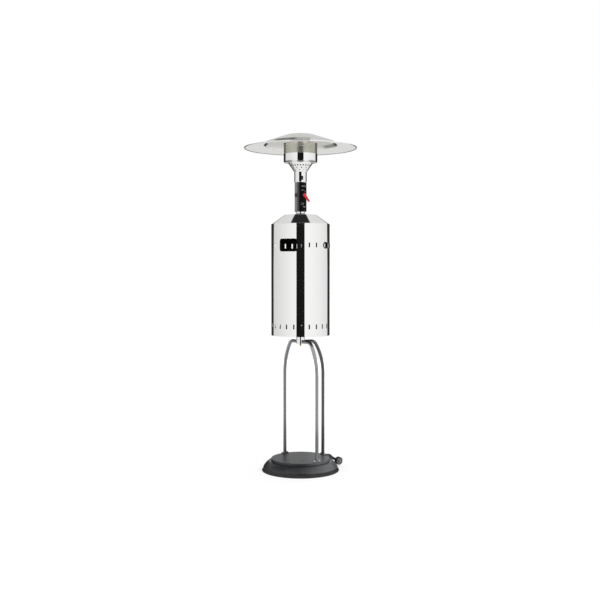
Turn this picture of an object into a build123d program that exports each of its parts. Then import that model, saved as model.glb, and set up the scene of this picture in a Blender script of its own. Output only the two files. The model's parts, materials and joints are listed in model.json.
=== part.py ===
"""Free-standing patio gas heater with its cylinder housing slid up the pole.

Frame: millimetres, +Z up, origin on the floor under the pole, front of the heater on -Y.
Bearings on the round parts are turned from the front (-Y) towards +X.
"""
from build123d import *
from math import cos, degrees, hypot, radians, sin
import os

os.makedirs("parts", exist_ok=True)

# ---------------------------------------------------------------- driving dimensions
FIT = 0.2                    # gap between two parts that are fitted and do not move
RUN = 0.3                    # gap between two parts that slide or turn on each other
HOLE = 0.6                   # hole diameter over the diameter of the screw in it

# base, from the platform outwards: the lowered housing stands on the platform's rim
housing_radius = 188.5
platform_ledge = 1.5         # platform beyond the housing
land_width = 17.0            # flat land round the platform
crown_width = 33.0           # crowned side of the hood
edge_ring_flare = 10.0       # rubber edge beyond the hood's skirt
base_wall = 2.0
edge_ring_height = 24.0
edge_ring_lip = 2.0
skirt_top = 27.0
crown_rise = 34.5
crown_bulge = (0.5, 3.25)    # middle of the crowned side, off the straight line between its ends
platform_rise = 18.1
platform_wall = 2.0
platform_gap = 1.1           # under the platform's skirt
weight_thick = 18.0
weight_bore = 50.0

# legs
leg_diameter = 21.0
leg_wall = 1.5
leg_inset = 14.0             # middle of a leg inside the housing
leg_top = 836.0              # height of the leg's end in the side of the pole
leg_lean = 32.0              # lean of the leg where its long curve ends
leg_curve_radius = 368.0
leg_shoulder_radius = 45.0
leg_bearings = {"leg_front": 36.5, "leg_rear": 122.0, "leg_left": 216.5}
foot_plate_length = 58.0
foot_plate_width = 22.0
foot_plate_thick = 4.0
foot_bolt_pitch = 38.0
bolt_diameter = 8.0
bolt_head_flats = 13.0
bolt_head_height = 5.3
washer_diameter = 15.0
washer_thick = 1.6
nut_height = 6.5

# wheels
wheel_bearing = 125.0        # the wheels stand behind the rear leg
wheel_radius = 26.0
wheel_width = 23.0
wheel_spread = 112.0         # between the middles of the two wheels
axle_stand_off = 19.0        # axle beyond the base
wheel_lift = 10.0            # wheels above the floor while the heater stands
axle_diameter = 10.0
tyre_thick = 5.5
bracket_gap = 1.2            # between the platform and the bracket
bracket_thick = 4.0
bracket_height = 23.5
bracket_arm_clearance = 4.5  # between an arm and the wheel beside it
bracket_arm_height = 12.0

# pole
pole_radius = 27.1
pole_wall = 1.5
pole_foot = 13.0             # pole below the middle of the leg ends
pole_length = 875.4
pole_socket = 26.0           # pole inside the control head
gas_pipe_radius = 4.0

# sliding cylinder housing, drawn in its raised place
housing_wall = 1.0
housing_height = 713.7
hem_height = 10.0
roof_rise = 60.3
roof_flat_radius = 103.0
raised_gap = 10.4            # between the guide bush and the control head
slot_count = 24
slot_first = 2.1
slot_width = 9.0
slot_height = 30.0
slot_row_rise = 63.0         # lower row above the housing's bottom edge
slot_row_drop = 136.7        # upper row below the housing's top edge
window_bearing = -25.0
window_width = 125.0
window_height = 81.0
window_corner = 16.0
grip_bearing = 66.0
grip_length = 108.0
grip_height = 44.0
grip_border = 7.0
bush_flange_radius = 38.0
bush_radius = 32.0
bush_height = 9.0
bush_flange = 2.0

# control head
control_radius = 37.6
control_wall = 1.6
control_height = 189.6
panel_bearing = 42.0
panel_angle = 88.0
panel_thick = 1.2
panel_margin = 4.0           # above and below the panel
lever_bearing = 40.0
lever_rise = 106.6           # lever's axis above the bottom of the control head
lever_length = 57.0
lever_root = 20.0
lever_tip = 13.0
lever_thick = 9.0
lever_rest_angle = 44.0      # from straight down, towards the right
button_bearing = -49.0
button_radius = 11.0
button_proud = 5.0
button_travel = 4.5

# burner
neck_overhang = 2.3          # neck beyond the control housing
neck_flange = 2.5            # flange of the upper cap under the neck
neck_height = 62.5
neck_wall = 1.2
cone_radius = 79.0
cone_height = 57.0
cone_rim = 3.0
air_slot_width = 16.0
air_slot_height = 26.0
air_slot_rise = 23.5
air_slot_first = 14.5
air_slot_count = 3
bowl_radius = 108.7
bowl_wall = 1.2
bowl_height = 54.5
bowl_corner = 9.0
mixing_tube_radius = 16.0
burner_head_gap = 32.7       # between the burner head and the outside of the bowl
screen_wall = 1.0
screen_height = 66.0         # screen above the bowl
screen_lap = 10.0            # screen inside the bowl
screen_rows = 3
screen_columns = 32
top_plate_thick = 2.5

# reflector
reflector_wall = 1.2
dome_foot_radius = 238.0
dome_depth = 64.3
dome_step_width = 16.0       # steep band above the dome's foot
dome_step_rise = 18.3
dome_bulge = 3.0             # middle of the dome's side, out from the straight line between its ends
dome_flat_radius = 88.0
dome_flange = 14.0
brim_width = 125.0
brim_slope = 0.16
rim_bead_radius = 2.8
segment_count = 4
segment_lap = 14.0
brim_screw_inset = 13.0
stud_circle = 63.0
stud_count = 3
stud_diameter = 6.0
spacer_diameter = 12.0
spacer_height = 54.1

# ---------------------------------------------------------------- places that follow from them
platform_radius = housing_radius + platform_ledge
land_outer = platform_radius + land_width
skirt_radius = land_outer + crown_width
base_radius = skirt_radius + edge_ring_flare
land_height = skirt_top + crown_rise
platform_top = land_height + platform_rise
platform_skirt = platform_rise - platform_gap
leg_circle = housing_radius - leg_inset
leg_straight_top = (leg_top - leg_curve_radius * sin(radians(leg_lean))
                    - leg_shoulder_radius * (1 - sin(radians(leg_lean))))
axle_reach = base_radius + axle_stand_off
axle_height = wheel_radius + wheel_lift
bracket_reach = platform_radius + bracket_gap
bracket_top = land_height + bracket_height
bracket_arm_gap = wheel_spread - wheel_width - 2 * bracket_arm_clearance - bracket_thick
pole_bottom = leg_top - pole_foot
pole_top = pole_bottom + pole_length
control_bottom = pole_top - pole_socket
control_top = control_bottom + control_height
lever_height = control_bottom + lever_rise
panel_bottom = control_bottom + panel_margin
panel_top = control_top - panel_margin
roof_top = control_bottom - raised_gap - bush_height
housing_top = roof_top - roof_rise
housing_bottom = housing_top - housing_height
slot_rows = (housing_bottom + slot_row_rise, housing_top - slot_row_drop)
neck_radius = control_radius + neck_overhang
neck_bottom = control_top + neck_flange
neck_top = neck_bottom + neck_height
cone_top = neck_top + cone_height
air_slot_middle = neck_bottom + air_slot_rise
bowl_bottom = cone_top + cone_rim
bowl_top = bowl_bottom + bowl_height
burner_head_radius = bowl_radius - burner_head_gap
screen_top = bowl_top + screen_height
plate_top = screen_top + top_plate_thick
dome_top = plate_top + spacer_height + reflector_wall
dome_foot_height = dome_top - dome_depth
reflector_radius = dome_foot_radius + brim_width
reflector_rim_height = dome_foot_height - brim_slope * brim_width


# ---------------------------------------------------------------- shared shapes
def outward(bearing, reach, height=0.0):
    """Point at a bearing from the front, a distance from the pole's middle and a height."""
    turn = radians(bearing)
    return Vector(reach * sin(turn), -reach * cos(turn), height)


def upright_plane(bearing):
    """Plane through the pole's middle: its x runs outwards at the bearing, its y runs up."""
    turn = radians(bearing)
    return Plane(origin=(0, 0, 0), x_dir=(sin(turn), -cos(turn), 0), z_dir=(-cos(turn), -sin(turn), 0))


def facing_plane(bearing, reach, height):
    """Plane that looks outwards at a bearing: its x runs sideways and its y runs up."""
    turn = radians(bearing)
    return Plane(origin=outward(bearing, reach, height), x_dir=(cos(turn), sin(turn), 0),
                 z_dir=(sin(turn), -cos(turn), 0))


def save(piece, name):
    """Label a finished piece and write its STEP file."""
    piece.part.label = name
    export_step(piece.part, f"parts/{name}.step")


# ================================================================ base
hood_inner = skirt_radius - base_wall
spigot_radius = platform_radius - platform_wall - 2 * FIT
spigot_top = platform_top - platform_wall
hood_bulge = ((skirt_radius + land_outer) / 2 + crown_bulge[0], (skirt_top + land_height) / 2 + crown_bulge[1])

# Rubber edge: the hood's skirt stands in its groove and it is all that shows at the floor.
with BuildPart() as base_edge_ring:
    with BuildSketch(Plane.XZ):
        with BuildLine():
            foot = Polyline((hood_inner - 4, 0), (base_radius, 0), (base_radius, 4))
            flare = ThreePointArc(foot @ 1, (base_radius - 6.8, 13), (skirt_radius + 1.4, edge_ring_height))
            Polyline(flare @ 1, (skirt_radius + FIT, edge_ring_height), (skirt_radius + FIT, edge_ring_lip),
                     (hood_inner - 4, edge_ring_lip), foot @ 0)
        make_face()
    revolve(axis=Axis.Z)
save(base_edge_ring, "base_edge_ring")

foot_bolt_places = []
for leg_bearing in leg_bearings.values():
    for side in (-1, 1):
        place = facing_plane(leg_bearing, leg_circle, 0).from_local_coords(Vector(side * foot_bolt_pitch / 2, 0, 0))
        foot_bolt_places.append((place.X, place.Y))

bracket_bolt_pitch = 36.0
bracket_bolt_reach = bracket_reach + bracket_thick + 4.8
bracket_bolt_diameter = 5.0
bracket_bolt_places = []
for side in (-1, 1):
    place = facing_plane(wheel_bearing, bracket_bolt_reach, 0).from_local_coords(
        Vector(side * bracket_bolt_pitch / 2, 0, 0))
    bracket_bolt_places.append((place.X, place.Y))

# Spun steel hood: skirt, crowned side, flat land and a raised spigot under the platform.
with BuildPart() as base_shell:
    with BuildSketch(Plane.XZ):
        with BuildLine():
            skirt = Line((skirt_radius, edge_ring_lip), (skirt_radius, skirt_top))
            crown = ThreePointArc(skirt @ 1, hood_bulge, (land_outer, land_height))
            top = Polyline(crown @ 1, (spigot_radius, land_height), (spigot_radius, spigot_top),
                           (weight_bore, spigot_top), (weight_bore, spigot_top - base_wall),
                           (spigot_radius - base_wall, spigot_top - base_wall),
                           (spigot_radius - base_wall, land_height - base_wall),
                           (land_outer - base_wall / 2, land_height - base_wall))
            inner_crown = ThreePointArc(top @ 1, (hood_bulge[0] - 1.4, hood_bulge[1] - 1.5),
                                        (hood_inner, skirt_top))
            Polyline(inner_crown @ 1, (hood_inner, edge_ring_lip), skirt @ 0)
        make_face()
    revolve(axis=Axis.Z)
    with BuildSketch(Plane.XY.offset(land_height - 2 * base_wall)):
        with Locations(*foot_bolt_places):
            Circle((bolt_diameter + HOLE) / 2)
        with Locations(*bracket_bolt_places):
            Circle((bracket_bolt_diameter + HOLE) / 2)
    extrude(amount=platform_top, mode=Mode.SUBTRACT)
save(base_shell, "base_shell")

# Cast iron ballast: the leg bolts clamp it up under the hood's spigot.
weight_top = spigot_top - base_wall
weight_bottom = weight_top - weight_thick
weight_radius = spigot_radius - base_wall - FIT
with BuildPart() as base_weight:
    with BuildSketch(Plane.XY.offset(weight_bottom)):
        Circle(weight_radius)
        Circle(weight_bore, mode=Mode.SUBTRACT)
    extrude(amount=weight_thick)
    chamfer(base_weight.edges().group_by(Axis.Z)[0], 2)
    with BuildSketch(Plane.XY.offset(weight_bottom)):
        with Locations(*foot_bolt_places):
            Circle((bolt_diameter + HOLE) / 2)
    extrude(amount=weight_thick, mode=Mode.SUBTRACT)
save(base_weight, "base_weight")

# Platform that the gas cylinder stands on: a shallow pan turned upside down.
with BuildPart() as cylinder_platform:
    with BuildSketch(Plane.XZ):
        with BuildLine():
            Polyline((0, spigot_top), (platform_radius - platform_wall, spigot_top),
                     (platform_radius - platform_wall, platform_top - platform_skirt),
                     (platform_radius, platform_top - platform_skirt),
                     (platform_radius, platform_top), (0, platform_top), close=True)
        make_face()
    revolve(axis=Axis.Z)
    fillet(cylinder_platform.edges().group_by(Axis.Z)[-1], 1.5)
    with BuildSketch(Plane.XY.offset(spigot_top - base_wall)):
        with Locations(*foot_bolt_places):
            Circle((bolt_diameter + HOLE) / 2)
    extrude(amount=3 * platform_wall, mode=Mode.SUBTRACT)
save(cylinder_platform, "cylinder_platform")

# ================================================================ legs
foot_plate_top = platform_top + foot_plate_thick


def bent_leg(bearing, name):
    """Steel tube from its foot plate up, over the shoulder and in to the side of the pole."""
    with BuildPart() as leg:
        with BuildLine(upright_plane(bearing)):
            post = Line((leg_circle, foot_plate_top), (leg_circle, leg_straight_top))
            long_curve = JernArc(post @ 1, post % 1, leg_curve_radius, leg_lean)
            shoulder = JernArc(long_curve @ 1, long_curve % 1, leg_shoulder_radius, 90 - leg_lean)
            Line(shoulder @ 1, outward(bearing, pole_radius / 2, (shoulder @ 1).Z))
        with BuildSketch(Plane(origin=outward(bearing, leg_circle, foot_plate_top))):
            Circle(leg_diameter / 2)
            Circle(leg_diameter / 2 - leg_wall, mode=Mode.SUBTRACT)
        sweep()
        with BuildSketch(Plane.XY.offset(pole_bottom)):
            Circle(pole_radius + FIT / 2)
        extrude(amount=leg_diameter * 3, mode=Mode.SUBTRACT)
    save(leg, name)
    return leg


for leg_name, leg_bearing in leg_bearings.items():
    bent_leg(leg_bearing, leg_name)

with BuildPart() as leg_feet:
    for leg_bearing in leg_bearings.values():
        foot_middle = outward(leg_bearing, leg_circle, platform_top)
        with BuildSketch(Plane(origin=foot_middle, x_dir=outward(leg_bearing + 90, 1))):
            SlotOverall(foot_plate_length, foot_plate_width)
            with GridLocations(foot_bolt_pitch, 0, 2, 1):
                Circle((bolt_diameter + HOLE) / 2, mode=Mode.SUBTRACT)
        extrude(amount=foot_plate_thick)
save(leg_feet, "leg_feet")

bolt_bottom = weight_bottom - washer_thick - nut_height - 3.0
with BuildPart() as leg_bolts:
    with BuildSketch(Plane.XY.offset(bolt_bottom)):
        with Locations(*foot_bolt_places):
            Circle(bolt_diameter / 2)
    extrude(amount=foot_plate_top - bolt_bottom)
    with BuildSketch(Plane.XY.offset(foot_plate_top)):
        with Locations(*foot_bolt_places):
            Circle(washer_diameter / 2)
    extrude(amount=washer_thick)
    with BuildSketch(Plane.XY.offset(foot_plate_top + washer_thick)):
        with Locations(*foot_bolt_places):
            RegularPolygon(bolt_head_flats / 2, 6, major_radius=False)
    extrude(amount=bolt_head_height)
save(leg_bolts, "leg_bolts")

nut_seat = weight_bottom
with BuildPart() as leg_nuts:
    with BuildSketch(Plane.XY.offset(nut_seat - washer_thick)):
        with Locations(*foot_bolt_places):
            Circle(washer_diameter / 2)
    extrude(amount=washer_thick)
    with BuildSketch(Plane.XY.offset(nut_seat - washer_thick - nut_height)):
        with Locations(*foot_bolt_places):
            RegularPolygon(bolt_head_flats / 2, 6, major_radius=False)
    extrude(amount=nut_height)
    with BuildSketch(Plane.XY):
        with Locations(*foot_bolt_places):
            Circle((bolt_diameter + FIT) / 2)
    extrude(amount=nut_seat, mode=Mode.SUBTRACT)
save(leg_nuts, "leg_nuts")

# ================================================================ wheels
# Wheel frame: x outwards at the wheels' bearing, y up, z along the axle.
wheel_plane = upright_plane(wheel_bearing)
across = wheel_plane.z_dir
arm_slope_end = Vector(axle_reach, axle_height, 0)


def wheel_offset(distance):
    """Wheel plane moved along the axle."""
    return Plane(origin=wheel_plane.origin + across * distance, x_dir=wheel_plane.x_dir, z_dir=across)


with BuildPart() as wheel_bracket:
    bar_half = bracket_arm_gap / 2 + bracket_thick / 2
    with BuildSketch(wheel_offset(-bar_half)):
        with Locations((bracket_reach + bracket_thick / 2, (land_height + bracket_top) / 2)):
            Rectangle(bracket_thick, bracket_top - land_height)
        with Locations((bracket_reach + 7.5, land_height + bracket_thick / 2)):
            Rectangle(15, bracket_thick)
    extrude(amount=2 * bar_half)
    for side in (-1, 1):
        with BuildSketch(wheel_offset(side * bracket_arm_gap / 2 - bracket_thick / 2)):
            with BuildLine():
                Polyline((bracket_reach, bracket_top), (bracket_reach + 10, bracket_top),
                         (axle_reach + 2, axle_height + bracket_arm_height / 2 + 1.5),
                         (axle_reach - 2, axle_height - bracket_arm_height / 2 - 1.5),
                         (bracket_reach + 14, bracket_top - bracket_arm_height - 6),
                         (bracket_reach, bracket_top - bracket_arm_height - 6), close=True)
            make_face()
            with Locations((axle_reach, axle_height)):
                Circle(bracket_arm_height * 0.68)
                Circle(axle_diameter / 2 + FIT / 2, mode=Mode.SUBTRACT)
        extrude(amount=bracket_thick)
    with BuildSketch(Plane.XY.offset(land_height)):
        with Locations(*bracket_bolt_places):
            Circle((bracket_bolt_diameter + HOLE) / 2)
    extrude(amount=bracket_thick, mode=Mode.SUBTRACT)
save(wheel_bracket, "wheel_bracket")

with BuildPart() as bracket_bolts:
    bracket_bolt_stack = (
        (land_height - base_wall - 6.5, 6.5 + base_wall + bracket_thick, bracket_bolt_diameter),
        (land_height - base_wall - 4.5, 4.5, bracket_bolt_diameter * 1.7),
        (land_height + bracket_thick, 3.5, bracket_bolt_diameter * 1.9),
    )
    for start, height, width in bracket_bolt_stack:
        with BuildSketch(Plane.XY.offset(start)):
            with Locations(*bracket_bolt_places):
                Circle(width / 2)
        extrude(amount=height)
save(bracket_bolts, "bracket_bolts")

axle_half = wheel_spread / 2 + wheel_width / 2 + 6.0
with BuildPart() as wheel_axle:
    with BuildSketch(wheel_offset(-axle_half)):
        with Locations((axle_reach, axle_height)):
            Circle(axle_diameter / 2)
    extrude(amount=2 * axle_half)
    chamfer(wheel_axle.edges(), 1.0)
save(wheel_axle, "wheel_axle")

with BuildPart() as axle_caps:
    for side in (-1, 1):
        cap_start = side * (wheel_spread / 2 + wheel_width / 2 + RUN)
        with BuildSketch(wheel_offset(cap_start)):
            with Locations((axle_reach, axle_height)):
                Circle(axle_diameter / 2 + 3)
                Circle(axle_diameter / 2 + FIT / 2, mode=Mode.SUBTRACT)
        extrude(amount=side * 3.5)
save(axle_caps, "axle_caps")


def wheel(side, name):
    """Moulded hub with a raised rim and boss, and the rubber tyre round it."""
    middle = side * wheel_spread / 2
    hub_radius = wheel_radius - tyre_thick
    with BuildPart() as hub:
        with BuildSketch(wheel_offset(middle - wheel_width / 2 + 2)):
            with Locations((axle_reach, axle_height)):
                Circle(hub_radius)
        extrude(amount=wheel_width - 4)
        for face_side in (-1, 1):
            recess_start = middle + face_side * (wheel_width / 2 - 2 - 4)
            with BuildSketch(wheel_offset(recess_start)):
                with Locations((axle_reach, axle_height)):
                    Circle(hub_radius - 2.5)
                    Circle(axle_diameter / 2 + 3.5, mode=Mode.SUBTRACT)
            extrude(amount=face_side * 10, mode=Mode.SUBTRACT)
        with BuildSketch(wheel_offset(middle - wheel_width / 2)):
            with Locations((axle_reach, axle_height)):
                Circle(axle_diameter / 2 + 3.5)
        extrude(amount=wheel_width)
        with BuildSketch(wheel_offset(middle - wheel_width)):
            with Locations((axle_reach, axle_height)):
                Circle(axle_diameter / 2 + RUN)
        extrude(amount=2 * wheel_width, mode=Mode.SUBTRACT)
    save(hub, f"{name}_hub")
    with BuildPart() as tyre:
        with BuildSketch(wheel_offset(middle - wheel_width / 2)):
            with Locations((axle_reach, axle_height)):
                Circle(wheel_radius)
        extrude(amount=wheel_width)
        fillet(tyre.edges(), 3.0)
        with BuildSketch(wheel_offset(middle - wheel_width)):
            with Locations((axle_reach, axle_height)):
                Circle(hub_radius + FIT / 2)
        extrude(amount=2 * wheel_width, mode=Mode.SUBTRACT)
    save(tyre, f"{name}_tyre")


wheel(-1, "wheel_right")
wheel(1, "wheel_left")

# ================================================================ pole and gas way
with BuildPart() as pole:
    with BuildSketch(Plane.XY.offset(pole_bottom)):
        Circle(pole_radius)
        Circle(pole_radius - pole_wall, mode=Mode.SUBTRACT)
    extrude(amount=pole_top - pole_bottom)
save(pole, "pole")

plug_height = 16.0
plug_top = pole_bottom + plug_height
pipe_bottom = plug_top - 8.0
with BuildPart() as pole_plug:
    with BuildSketch(Plane.XY.offset(pole_bottom + 1)):
        Circle(pole_radius - pole_wall - FIT / 2)
    extrude(amount=plug_height - 1)
    with BuildSketch(Plane.XY.offset(pole_bottom)):
        Circle(gas_pipe_radius + FIT / 2)
    extrude(amount=plug_height, mode=Mode.SUBTRACT)
save(pole_plug, "pole_plug")

nipple_length = 16.0
with BuildPart() as gas_inlet_nipple:
    with BuildSketch(Plane.XZ):
        with BuildLine():
            nipple_top = pole_bottom + 1
            barb_top = nipple_top - 4
            Polyline((0, nipple_top), (9.0, nipple_top), (9.0, barb_top), (5.5, barb_top),
                     (5.5, barb_top - 3), (4.4, barb_top - 3.5), (5.2, barb_top - 6), (4.0, barb_top - 6.5),
                     (4.0, nipple_top - nipple_length), (0, nipple_top - nipple_length), close=True)
        make_face()
    revolve(axis=Axis.Z)
    with BuildSketch(Plane.XY.offset(nipple_top)):
        Circle(gas_pipe_radius)
    extrude(amount=pipe_bottom - nipple_top)
    with BuildSketch(Plane.XY.offset(nipple_top - nipple_length)):
        Circle(2.0)
    extrude(amount=pipe_bottom - nipple_top + nipple_length, mode=Mode.SUBTRACT)
save(gas_inlet_nipple, "gas_inlet_nipple")

valve_size = 26.0
valve_height = 34.0
valve_bottom = lever_height - valve_height / 2
with BuildPart() as gas_pipe:
    with BuildSketch(Plane.XY.offset(pipe_bottom)):
        Circle(gas_pipe_radius)
        Circle(2.4, mode=Mode.SUBTRACT)
    extrude(amount=valve_bottom - pipe_bottom)
save(gas_pipe, "gas_pipe")

# ================================================================ sliding cylinder housing
grip_bearings = (grip_bearing, grip_bearing + 180)
shell_inner = housing_radius - housing_wall
grip_neck_length = grip_length - grip_border
grip_neck_height = grip_height - grip_border
cut_depth = housing_radius / 2
window_half_angle = degrees(window_width / 2 / housing_radius)
grip_half_angle = degrees(grip_length / 2 / housing_radius)


def bearing_gap(first, second):
    """Smallest angle between two bearings."""
    return abs((first - second + 180) % 360 - 180)


def slot_is_free(bearing, height):
    """No slot is cut in the upper row where the window or a hand grip is."""
    if height != slot_rows[-1]:
        return True
    margin = degrees(slot_width / housing_radius)
    if bearing_gap(bearing, window_bearing) < window_half_angle + margin:
        return False
    return all(bearing_gap(bearing, grip) > grip_half_angle + margin for grip in grip_bearings)


slot_bearings = [slot_first + number * 360 / slot_count for number in range(slot_count)]
slot_planes = [facing_plane(slot_bearing, cut_depth, row_height)
               for row_height in slot_rows
               for slot_bearing in slot_bearings
               if slot_is_free(slot_bearing, row_height)]

roof_skirt = 14.0
skirt_outer = shell_inner - FIT / 2
rivet_count = 6
rivet_radius = 1.6
rivet_head_radius = 3.0
rivet_head_height = 1.2
rivet_grip = skirt_outer - housing_wall
rivet_planes = [facing_plane(30 + number * 360 / rivet_count, rivet_grip - 2 * rivet_head_height,
                             housing_top - roof_skirt / 2) for number in range(rivet_count)]

with BuildPart() as housing_shell:
    with BuildSketch(Plane.XZ):
        with BuildLine():
            Polyline((housing_radius, housing_bottom), (housing_radius, housing_top),
                     (shell_inner, housing_top), (shell_inner, housing_bottom + hem_height),
                     (shell_inner - housing_wall, housing_bottom + hem_height),
                     (shell_inner - housing_wall, housing_bottom), close=True)
        make_face()
    revolve(axis=Axis.Z)
    with BuildSketch(*slot_planes):
        Rectangle(slot_width, slot_height)
    extrude(amount=housing_radius, mode=Mode.SUBTRACT)
    with BuildSketch(facing_plane(window_bearing, cut_depth, slot_rows[-1])):
        RectangleRounded(window_width, window_height, window_corner)
    extrude(amount=housing_radius, mode=Mode.SUBTRACT)
    with BuildSketch(*[facing_plane(bearing, cut_depth, slot_rows[-1]) for bearing in grip_bearings]):
        SlotOverall(grip_neck_length + 2 * FIT, grip_neck_height + 2 * FIT)
    extrude(amount=housing_radius, mode=Mode.SUBTRACT)
    with BuildSketch(*rivet_planes):
        Circle(rivet_radius + FIT / 2)
    extrude(amount=2 * roof_skirt, mode=Mode.SUBTRACT)
save(housing_shell, "housing_shell")

with BuildPart() as housing_roof:
    with BuildSketch(Plane.XZ):
        with BuildLine():
            Polyline((housing_radius, housing_top), (roof_flat_radius, roof_top), (pole_radius + 3, roof_top),
                     (pole_radius + 3, roof_top - housing_wall),
                     (roof_flat_radius - housing_wall / 3, roof_top - housing_wall),
                     (skirt_outer - housing_wall, housing_top - housing_wall / 3),
                     (skirt_outer - housing_wall, housing_top - roof_skirt), (skirt_outer, housing_top - roof_skirt),
                     (skirt_outer, housing_top), close=True)
        make_face()
    revolve(axis=Axis.Z)
    with BuildSketch(*rivet_planes):
        Circle(rivet_radius + FIT / 2)
    extrude(amount=2 * roof_skirt, mode=Mode.SUBTRACT)
save(housing_roof, "housing_roof")

# Nylon bush that runs on the pole; nothing of it reaches under the roof.
with BuildPart() as guide_bush:
    with BuildSketch(Plane.XZ):
        with BuildLine():
            bore = pole_radius + RUN
            Polyline((bore, roof_top - housing_wall), (pole_radius + 3 - FIT, roof_top - housing_wall),
                     (pole_radius + 3 - FIT, roof_top), (bush_flange_radius, roof_top),
                     (bush_flange_radius, roof_top + bush_flange), (bush_radius, roof_top + bush_flange),
                     (bush_radius, roof_top + bush_height), (bore, roof_top + bush_height), close=True)
        make_face()
    revolve(axis=Axis.Z)
    chamfer(guide_bush.edges().group_by(Axis.Z)[-1].sort_by(SortBy.RADIUS)[-1], 1.5)
save(guide_bush, "guide_bush")


def hand_grip(bearing, name):
    """Moulded grip ring: a flange on the sheet, a neck through it and a lip behind it."""
    with BuildPart() as grip:
        for inner, outer, length, height in (
            (housing_radius + FIT, housing_radius + 2.4, grip_length, grip_height),
            (shell_inner - 5, housing_radius + 2.4, grip_neck_length, grip_neck_height),
        ):
            with BuildPart(mode=Mode.PRIVATE) as ring_block:
                with BuildSketch(facing_plane(bearing, cut_depth, slot_rows[-1])):
                    SlotOverall(length, height)
                extrude(amount=housing_radius)
                with BuildSketch(Plane.XY.offset(slot_rows[-1] - height)):
                    Circle(outer)
                    Circle(inner, mode=Mode.SUBTRACT)
                extrude(amount=2 * height, mode=Mode.INTERSECT)
            add(ring_block.part)
        with BuildSketch(facing_plane(bearing, cut_depth, slot_rows[-1])):
            SlotOverall(grip_neck_length - grip_border, grip_neck_height - grip_border)
        extrude(amount=housing_radius, mode=Mode.SUBTRACT)
    save(grip, name)


hand_grip(grip_bearings[0], "grip_right")
hand_grip(grip_bearings[1], "grip_left")

# Rivets through the shell and the roof's skirt: shank, outer head and inner head.
with BuildPart() as roof_rivets:
    for start, height, radius in (
        (2 * rivet_head_height, housing_radius - rivet_grip, rivet_radius),
        (rivet_head_height - FIT / 2, rivet_head_height, rivet_head_radius),
        (housing_radius - rivet_grip + 2 * rivet_head_height, rivet_head_height, rivet_head_radius),
    ):
        with BuildSketch(*[plane.offset(start) for plane in rivet_planes]):
            Circle(radius)
        extrude(amount=height)
save(roof_rivets, "roof_rivets")

# ================================================================ control head
control_inner = control_radius - control_wall
panel_inner = control_radius + FIT / 2
panel_outer = control_radius + panel_thick
panel_height = panel_top - panel_bottom
panel_middle = (panel_top + panel_bottom) / 2
panel_screw_spread = panel_height - 18
panel_screw_radius = 1.6
panel_screw_heights = (panel_middle - panel_screw_spread / 2, panel_middle + panel_screw_spread / 2)
spindle_radius = 4.0
spindle_hole = spindle_radius + 2
barrel_inner = button_radius + RUN
barrel_outer = barrel_inner + 1.2
lever_plane = facing_plane(lever_bearing, 0, lever_height)
button_plane = facing_plane(button_bearing, 0, lever_height)

with BuildPart() as control_housing:
    with BuildSketch(Plane.XY.offset(control_bottom)):
        Circle(control_radius)
        Circle(control_inner, mode=Mode.SUBTRACT)
    extrude(amount=control_top - control_bottom)
    with BuildSketch(lever_plane):
        Circle(spindle_hole)
    extrude(amount=control_radius * 2, mode=Mode.SUBTRACT)
    with BuildSketch(button_plane):
        Circle(barrel_outer + FIT / 2)
    extrude(amount=control_radius * 2, mode=Mode.SUBTRACT)
    for screw_height in panel_screw_heights:
        with BuildSketch(facing_plane(panel_bearing, 0, screw_height)):
            Circle(panel_screw_radius + HOLE / 2)
        extrude(amount=control_radius * 2, mode=Mode.SUBTRACT)
save(control_housing, "control_housing")

cap_radius = control_inner - FIT / 2
cap_thick = 4.0
with BuildPart() as control_bottom_cap:
    with BuildSketch(Plane.XY.offset(control_bottom)):
        Circle(cap_radius)
        Circle(pole_radius + FIT / 2, mode=Mode.SUBTRACT)
    extrude(amount=cap_thick)
    with BuildSketch(Plane.XY.offset(control_bottom + cap_thick)):
        Circle(pole_radius + 4)
        Circle(pole_radius + FIT / 2, mode=Mode.SUBTRACT)
    extrude(amount=pole_socket - cap_thick)
save(control_bottom_cap, "control_bottom_cap")

# Upper cap: closes the control housing, and its spigot carries the burner neck.
neck_spigot_radius = neck_radius - neck_wall - FIT / 2
neck_spigot_height = 9.0
with BuildPart() as control_top_cap:
    with BuildSketch(Plane.XZ):
        with BuildLine():
            cap_bore = mixing_tube_radius + FIT / 2
            Polyline((cap_bore, control_top - cap_thick), (cap_radius, control_top - cap_thick),
                     (cap_radius, control_top), (neck_radius, control_top), (neck_radius, neck_bottom),
                     (neck_spigot_radius, neck_bottom), (neck_spigot_radius, neck_bottom + neck_spigot_height),
                     (neck_spigot_radius - 2, neck_bottom + neck_spigot_height),
                     (neck_spigot_radius - 2, neck_bottom), (cap_bore, neck_bottom), close=True)
        make_face()
    revolve(axis=Axis.Z)
save(control_top_cap, "control_top_cap")

# Curved glossy panel round the lever, with rounded corners.
with BuildPart() as control_panel:
    with BuildSketch(facing_plane(panel_bearing, 0, panel_middle)):
        RectangleRounded(2 * panel_outer * sin(radians(panel_angle / 2)), panel_height, 5)
    extrude(amount=panel_outer * 2)
    with BuildSketch(Plane.XY.offset(panel_bottom)):
        Circle(panel_outer)
        Circle(panel_inner, mode=Mode.SUBTRACT)
    extrude(amount=panel_height, mode=Mode.INTERSECT)
    with BuildSketch(lever_plane):
        Circle(spindle_hole)
    extrude(amount=control_radius * 2, mode=Mode.SUBTRACT)
    for screw_height in panel_screw_heights:
        with BuildSketch(facing_plane(panel_bearing, 0, screw_height)):
            Circle(panel_screw_radius + HOLE / 2)
        extrude(amount=control_radius * 2, mode=Mode.SUBTRACT)
save(control_panel, "control_panel")

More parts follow.
